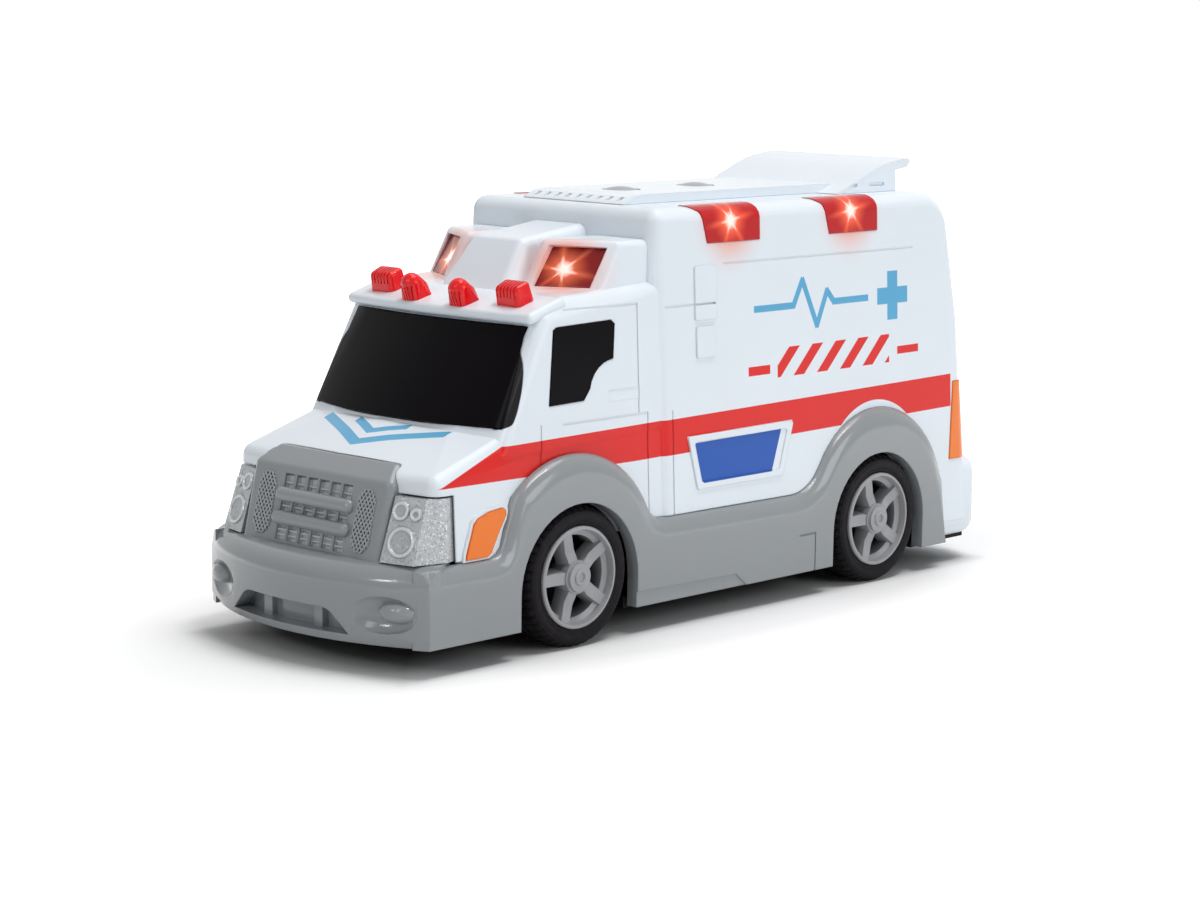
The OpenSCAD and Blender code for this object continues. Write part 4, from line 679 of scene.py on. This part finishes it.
def make_board():
    made, tree, principled = new_material("board_green")
    place, x, y, _ = position_mm(tree)
    wander = noise(tree, place, WANDER_SCALE)
    tracks = []
    for across in (x, y):
        line = calc(tree, "PINGPONG", calc(tree, "MULTIPLY_ADD", wander, WANDER, across), TRACK_STEP)
        tracks.append(calc(tree, "LESS_THAN", line, TRACK_HALF))
    colour = blend_colour(tree, chain(tree, "MAXIMUM", *tracks), LACQUER_GREEN, TRACK_GREEN)
    mould(tree, principled, colour, drift=0.1, gloss=0.35, smudge=0.1, edge_radius=0.05, grain=0.02)
    return made


steel = make_steel()
board_green = make_board()
print("materials:", len(bpy.data.materials))

# %% [markdown]
# Smooth copies of the moulded solids
#
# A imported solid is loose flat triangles. A subdivision surface could round it, but that would shrink the
# piece. Welding a copy, marking its real creases sharp and weighting normals by face area keeps the size:
# flat panels stay flat and rounded edges shade smoothly. The copy then stands for the solid and rides on
# the same body.

# %% Smooth copies
WELD, CREASE, PANEL_WEIGHT = 0.004 * MM, math.radians(34), 80


def shade_smooth(bm):
    """Smooth faces, with the real creases marked sharp."""
    for face in bm.faces:
        face.smooth = True
    for edge in bm.edges:
        edge.smooth = len(edge.link_faces) == 2 and edge.calc_face_angle(0) < CREASE


def keep_mesh(bm, name, material):
    """Turns a finished bmesh into an object at the origin."""
    mesh = bpy.data.meshes.new(name)
    bm.to_mesh(mesh)
    bm.free()
    mesh.materials.append(material)
    made = bpy.data.objects.new(name, mesh)
    bpy.context.scene.collection.objects.link(made)
    return made


def smooth_copy(node, material):
    bm = bmesh.new()
    bm.from_mesh(nodes[node].data)
    bmesh.ops.remove_doubles(bm, verts=bm.verts, dist=WELD)
    bmesh.ops.dissolve_degenerate(bm, edges=bm.edges, dist=WELD)
    for face in bm.faces:
        face.material_index = 0
    shade_smooth(bm)
    made = keep_mesh(bm, node + "_smooth", material)
    weighted = made.modifiers.new("even panels", "WEIGHTED_NORMAL")
    weighted.keep_sharp = True
    weighted.weight = PANEL_WEIGHT
    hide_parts(node)
    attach(made, body_of_node[node])
    return made


print("creases from", round(math.degrees(CREASE)), "degrees stay sharp")

# %% A finish for each solid
FINISHES = {
    shell_paint: ["upper_shell"],
    white_plastic: ["roof_panel", "tailgate"],
    body_grey: ["lower_body"],
    rim_grey: ["rim_front_left", "rim_front_right", "rim_rear_left", "rim_rear_right"],
    button_grey: ["button_front", "button_rear"],
    liner_grey: ["compartment_liner"],
    chassis_black: ["chassis_base", "battery_door", "speaker"],
    glazing_black: ["windscreen", "door_window_left", "door_window_right", "tailgate_window"],
    silver_flake: ["headlight_left", "headlight_right"],
    amber_plastic: ["front_signal_left", "front_signal_right", "rear_signal_left", "rear_signal_right"],
    red_lens: ["side_lamp_front_left", "side_lamp_rear_left",
               "side_lamp_front_right", "side_lamp_rear_right"],
    beacon_red_shaded: ["beacon_left", "beacon_right"],
    marker_red: ["marker_lamp_1", "marker_lamp_2", "marker_lamp_3", "marker_lamp_4"],
    steel: ["front_axle", "rear_axle", "button_cells", "battery_contacts", "battery_door_screw",
            "chassis_screws"],
    board_green: ["circuit_board"],
    led_resin: ["side_leds", "beacon_leds"],
}
dressed = [smooth_copy(node, material) for material, names in FINISHES.items() for node in names]
print("smooth copies:", len(dressed), "with", sum(len(piece.data.polygons) for piece in dressed), "faces")

# %% [markdown]
# Tyres
#
# A tyre is a section turned round the axle. The moulded tread has a groove round its middle and a row of
# notches on each shoulder, staggered from side to side. Bump could draw them, but they show at the edge
# of the wheel. So the section is spun here in fine steps, and every fourth row of tread points is
# pressed in.

# %% Section of a tyre
TYRE_R, BEAD_R = 11.3, 7.5
INNER_SHOULDER_R, INNER_STEPS = 1.3, 5
OUTER_SHOULDER_R, OUTER_SHOULDER_AT, OUTER_TURN, OUTER_STEPS = 1.8, 5.7, 75, 6
GROOVE_AT, GROOVE_DEEP, GROOVE_SLOPE = (3.2, 3.9), 0.3, 0.15
INNER_WALL = [(BEAD_R, 0.6), (8.4, 0.2)]
OUTER_WALL = [(8.7, 7.2), (8.22, 6.95), (8.22, 6.6), (BEAD_R, 6.38)]


def arc(centre, radius, start, stop, steps):
    turns = [math.radians(start + (stop - start) * i / steps) for i in range(steps + 1)]
    return [(centre[0] + radius * math.cos(t), centre[1] + radius * math.sin(t)) for t in turns]


def tyre_section():
    """Points of (distance from the axle, distance out from the inner wall)."""
    low, high = GROOVE_AT
    floor_r = TYRE_R - GROOVE_DEEP
    groove = [(TYRE_R, low - GROOVE_SLOPE), (floor_r, low), (floor_r, high), (TYRE_R, high + GROOVE_SLOPE)]
    inner_centre = (TYRE_R - INNER_SHOULDER_R, INNER_SHOULDER_R)
    outer_centre = (TYRE_R - OUTER_SHOULDER_R, OUTER_SHOULDER_AT)
    inner = arc(inner_centre, INNER_SHOULDER_R, -90, 0, INNER_STEPS)
    outer = arc(outer_centre, OUTER_SHOULDER_R, 0, OUTER_TURN, OUTER_STEPS)
    return INNER_WALL + inner + groove + outer + OUTER_WALL


print("tyre section:", len(tyre_section()), "points")

# %% Tyres
TYRE_IN_Y = 17.8
TREAD_COUNT, ROWS_PER_NOTCH, NOTCH_DEEP, NOTCH_FROM_R, NOTCH_MARGIN = 46, 4, 0.32, 10.7, 0.2


def press_notches(bm, centre, rows):
    """Presses every fourth row of tread points towards the axle, staggered between the two shoulders."""
    low, high = GROOVE_AT
    for vert in bm.verts:
        spoke = vert.co - centre
        out, spoke.y = abs(spoke.y) - TYRE_IN_Y, 0
        row = round(math.atan2(spoke.z, spoke.x) / math.tau * rows)
        stagger = 0 if out < (low + high) / 2 else ROWS_PER_NOTCH // 2
        off_groove = not low - NOTCH_MARGIN < out < high + NOTCH_MARGIN
        if spoke.length > NOTCH_FROM_R and off_groove and (row + stagger) % ROWS_PER_NOTCH == 0:
            vert.co -= spoke.normalized() * NOTCH_DEEP


def make_tyre(node, axle_x, side):
    bm = bmesh.new()
    ring = [bm.verts.new((axle_x + r, side * (TYRE_IN_Y + out), AXLE_Z)) for r, out in tyre_section()]
    edges = [bm.edges.new(pair) for pair in zip(ring, ring[1:] + ring[:1])]
    centre = Vector((axle_x, 0, AXLE_Z))
    rows = TREAD_COUNT * ROWS_PER_NOTCH
    bmesh.ops.spin(bm, geom=ring + edges, cent=centre, axis=(0, 1, 0), angle=math.tau, steps=rows,
        use_merge=True)
    press_notches(bm, centre, rows)
    bmesh.ops.scale(bm, vec=(MM, MM, MM), verts=bm.verts)
    bmesh.ops.recalc_face_normals(bm, faces=bm.faces)
    shade_smooth(bm)
    made = keep_mesh(bm, node + "_treaded", tyre_rubber)
    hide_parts(node)
    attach(made, body_of_node[node])
    return made


tyres = [make_tyre(f"tyre_{end}_{side}", x, sign)
         for end, x in zip(("front", "rear"), AXLE_X) for side, sign in (("left", 1), ("right", -1))]
print("tyres:", len(tyres), "with", len(tyres[0].data.polygons), "faces each")

# %% [markdown]
# Grille mesh
#
# The two ovals beside the grille hold a diamond mesh that is moulded with the bumper. It could be a bump
# in the paint, but then it would vanish at a glancing angle, so each bar is a thin block, cut to the
# chord that its line makes with the oval. One family of bars lies a hair lower than the other, and a
# raised border closes their ends.

# %% Chords and border of an oval
OVAL_Y, OVAL_ENDS, OVAL_R = 11.6, (2.95, 8.85), 2.0
BORDER_W, BORDER_FOOT, BORDER_HEIGHT, ROUND_STEPS = 0.35, -0.55, 0.52, 16


def chord_of_oval(offset, tilt):
    """Ends of a line's run inside the upright oval, as distances from the line's foot."""
    foot = Vector((offset * math.cos(tilt), sum(OVAL_ENDS) / 2 - offset * math.sin(tilt)))
    along = Vector((math.sin(tilt), math.cos(tilt)))
    reached = []
    for end in OVAL_ENDS:
        near = (Vector((0.0, end)) - foot).dot(along)
        gap = (foot + along * near - Vector((0.0, end))).length
        if gap < OVAL_R:
            half = math.sqrt(OVAL_R ** 2 - gap ** 2)
            reached += [near - half, near + half]
    for side in (-OVAL_R, OVAL_R):
        t = (side - foot.x) / along.x
        if OVAL_ENDS[0] < foot.y + along.y * t < OVAL_ENDS[1]:
            reached.append(t)
    return foot, along, (min(reached), max(reached)) if reached else None


def add_oval_border(bm, on_face, side):
    """A raised border round the oval: a flat outline, inset, opened and drawn out."""
    outer_r = OVAL_R + BORDER_W / 2
    corners = []
    for end, start in ((OVAL_ENDS[1], 0.0), (OVAL_ENDS[0], math.pi)):
        for i in range(ROUND_STEPS + 1):
            angle = start + math.pi * i / ROUND_STEPS
            across, up = math.cos(angle) * outer_r, math.sin(angle) * outer_r
            corner = Vector((BORDER_FOOT, side * (OVAL_Y + across), end + up))
            corners.append(bm.verts.new(on_face @ corner))
    middle = bm.faces.new(corners)
    border = bmesh.ops.inset_region(bm, faces=[middle], thickness=BORDER_W * MM)["faces"]
    bmesh.ops.delete(bm, geom=[middle], context="FACES_ONLY")
    drawn = bmesh.ops.extrude_face_region(bm, geom=border)["geom"]
    outward = on_face.to_3x3() @ Vector((BORDER_HEIGHT, 0, 0))
    bmesh.ops.translate(bm, verts=[g for g in drawn if isinstance(g, bmesh.types.BMVert)], vec=outward)


print("oval:", 2 * OVAL_R, "x", round(OVAL_ENDS[1] - OVAL_ENDS[0] + 2 * OVAL_R, 2), "mm")

# %% Grille mesh
MESH_BAR_W, MESH_BAR_DEEP, MESH_BAR_STEP, MESH_BAR_REACH = 0.22, 0.5, 0.66, 10
MESH_BAR_TILT, MESH_BAR_X, MESH_BAR_DROP = math.radians(36), -0.36, 0.03


def make_grille_mesh(name, side):
    bm = bmesh.new()
    lean = Matrix.Translation(Vector(GRILLE_FOOT)) @ Matrix.Rotation(-GRILLE_LEAN, 4, "Y")
    on_face = Matrix.Scale(MM, 4) @ lean
    add_oval_border(bm, on_face, side)
    for family, tilt in enumerate((MESH_BAR_TILT, -MESH_BAR_TILT)):
        depth = MESH_BAR_X - MESH_BAR_DROP * family
        turn = Matrix.Rotation(-side * tilt, 4, "X")
        for step in range(-MESH_BAR_REACH, MESH_BAR_REACH + 1):
            foot, along, run = chord_of_oval(step * MESH_BAR_STEP, tilt)
            if run is None or run[1] - run[0] < MESH_BAR_W:
                continue
            middle = foot + along * sum(run) / 2
            place = Matrix.Translation((depth, side * (OVAL_Y + middle.x), middle.y))
            size = Matrix.Diagonal((MESH_BAR_DEEP, MESH_BAR_W, run[1] - run[0], 1))
            bmesh.ops.create_cube(bm, size=1, matrix=on_face @ place @ turn @ size)
    bmesh.ops.recalc_face_normals(bm, faces=bm.faces)
    made = keep_mesh(bm, name, mesh_grey_painted_light)
    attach(made, body_of_node["lower_body"])
    return made


grille_meshes = [make_grille_mesh("grille_mesh_left", 1), make_grille_mesh("grille_mesh_right", -1)]
print("grille mesh:", [len(piece.data.polygons) for piece in grille_meshes], "faces")

# %% [markdown]
# Studio floor and background
#
# The toy stands on a pale plain floor. The floor and the background are white to the camera and in
# reflections, while the light on the toy stays at a plain level, so colours render about as they are
# written. More lamps could whiten the floor as well, but they would bleach the toy too. So the floor lifts
# itself to white away from the toy, and right under the toy it is darker, which deepens the shadow there.

# %% Floor and background
FLOOR_HALF, FLOOR_TONES, FLOOR_ROUGHNESS, FLOOR_SHINE = 4.0, (0.95, 0.97), 0.9, 0.1
CLOUD_SCALE, CLOUD_RANGE = 0.004, (0.2, 0.8)
UNDER_HALF, UNDER_FADE, UNDER_SHADE = (58.0, 10.0), 17.0, 0.12
SHADOW_HALF, NEAR_REACH, NEAR_LIFT, FAR_REACH = (95, 45), (0.8, 1.2), 0.26, (1.2, 3.6)
SKY_LIGHT = 0.13


def grey(tree, value):
    made = add(tree, "CombineColor")
    put_all(tree, made.inputs, (value, value, value))
    return made.outputs[0]


def seen_directly(tree):
    """1 for the camera's own rays and for those that a mirror or glass sends on."""
    rays = add(tree, "LightPath").outputs
    kinds = ("Is Camera Ray", "Is Glossy Ray", "Is Transmission Ray")
    return chain(tree, "MAXIMUM", *[rays[kind] for kind in kinds])


def make_floor():
    made, tree, principled = new_material("studio_floor")
    place, x, y, _ = position_mm(tree)
    cloud = remap(tree, noise(tree, place, CLOUD_SCALE), *CLOUD_RANGE, *FLOOR_TONES)
    past_end = calc(tree, "SUBTRACT", calc(tree, "ABSOLUTE", x), UNDER_HALF[0])
    past_side = calc(tree, "SUBTRACT", y, UNDER_HALF[1])
    under = remap(tree, calc(tree, "MAXIMUM", past_end, past_side), 0.0, UNDER_FADE, UNDER_SHADE, 1.0)
    put(tree, principled["Base Color"], grey(tree, calc(tree, "MULTIPLY", cloud, under)))
    principled["Roughness"].default_value = FLOOR_ROUGHNESS
    principled["Specular IOR Level"].default_value = FLOOR_SHINE
    stretched = vector_calc(tree, "MULTIPLY", place, (1 / SHADOW_HALF[0], 1 / SHADOW_HALF[1], 0))
    reach = vector_calc(tree, "LENGTH", stretched)
    near, far = remap(tree, reach, *NEAR_REACH, 0.0, NEAR_LIFT), remap(tree, reach, *FAR_REACH)
    lift = calc(tree, "MULTIPLY", seen_directly(tree), calc(tree, "ADD", near, far))
    put(tree, principled["Emission Color"], grey(tree, lift))
    principled["Emission Strength"].default_value = 1.0
    bm = bmesh.new()
    bmesh.ops.create_grid(bm, x_segments=2, y_segments=2, size=FLOOR_HALF)
    floor = keep_mesh(bm, "studio_floor", made)


def make_world():
    world = bpy.data.worlds.new("studio")
    bpy.context.scene.world = world
    world.use_nodes = True
    tree = world.node_tree
    background = tree.nodes["Background"].inputs
    background["Color"].default_value = (1, 1, 1, 1)
    put(tree, background["Strength"], remap(tree, seen_directly(tree), 0, 1, SKY_LIGHT, 1.0))


make_floor()
make_world()
print("floor", 2 * FLOOR_HALF, "m wide, sky light", SKY_LIGHT)

# %% [markdown]
# Studio lights
#
# Soft boxes light the toy from above, from its left and in front, as for a catalogue picture. A picture of
# a studio wrapped round the scene could do it, but area lamps can be placed one by one. A narrow strip
# draws a line of light on the arches and the roof edge, and a small lamp in front gives the gloss on the
# bumper a crisp spark.

# %% Lights
PURE_WHITE, COOL_WHITE = (1, 1, 1), (0.95, 0.98, 1.0)
SOFTBOXES = [  # name, place, aim, size, power, colour
    ("top_softbox", (-0.14, 0.06, 0.75), (0, 0, 0.03), (0.55, 0.45), 2.8, PURE_WHITE),
    ("top_strip", (-0.01, 0.22, 0.70), (0.03, 0.02, 0.02), (0.3, 0.05), 1.0, PURE_WHITE),
    ("front_softbox", (0.65, 0.14, 0.5), (0.03, 0, 0.03), (0.12, 0.5), 0.7, PURE_WHITE),
    ("side_softbox", (-0.15, 0.8, 0.3), (0, 0, 0.03), (0.5, 0.4), 2.1, COOL_WHITE),
    ("spark_lamp", (0.77, -0.06, 0.40), (0.06, 0, 0.02), (0.08, 0.08), 0.5, PURE_WHITE),
]


def make_softbox(name, place, aim, size, power, colour):
    light = bpy.data.lights.new(name, "AREA")
    light.shape = "RECTANGLE"
    light.size, light.size_y = size
    light.energy = power
    light.color = colour
    made = bpy.data.objects.new(name, light)
    made.location = place
    made.rotation_mode = "QUATERNION"
    made.rotation_quaternion = (Vector(aim) - Vector(place)).to_track_quat("-Z", "Y")
    bpy.context.scene.collection.objects.link(made)


for softbox in SOFTBOXES:
    make_softbox(*softbox)
print("lights:", len(bpy.data.lights))

# %% [markdown]
# Camera
#
# The camera stands ahead of the toy on its left and a little above it. It could be turned by hand until
# the view looks right, but a fit is closer: its place, its turn and its focal length were found by
# matching wheels, edges and corners to the picture's viewing angle.

# %% Camera
IMAGE_W, FOCAL_PX, SENSOR = 1200, 2830.74, 36.0
CAMERA_AT = (350.33, 327.82, 101.01)
CAMERA_RIGHT = (-0.68943, 0.72423, 0.01330)
CAMERA_UP = (-0.10449, -0.11760, 0.98755)
CAMERA_BACK = (0.71677, 0.67946, 0.15675)
CLIP_START, CLIP_END = 0.01, 50
camera = bpy.data.objects.new("camera", bpy.data.cameras.new("camera"))
camera.data.sensor_fit = "HORIZONTAL"
camera.data.sensor_width = SENSOR
camera.data.lens = FOCAL_PX * SENSOR / IMAGE_W
camera.data.clip_start, camera.data.clip_end = CLIP_START, CLIP_END
camera_turn = Matrix((CAMERA_RIGHT, CAMERA_UP, CAMERA_BACK)).transposed().to_4x4()
camera.matrix_world = Matrix.Translation(Vector(CAMERA_AT) * MM) @ camera_turn
bpy.context.scene.collection.objects.link(camera)
bpy.context.scene.camera = camera
bpy.context.scene.view_settings.view_transform = "Standard"
print("camera lens", round(camera.data.lens, 2), "mm")
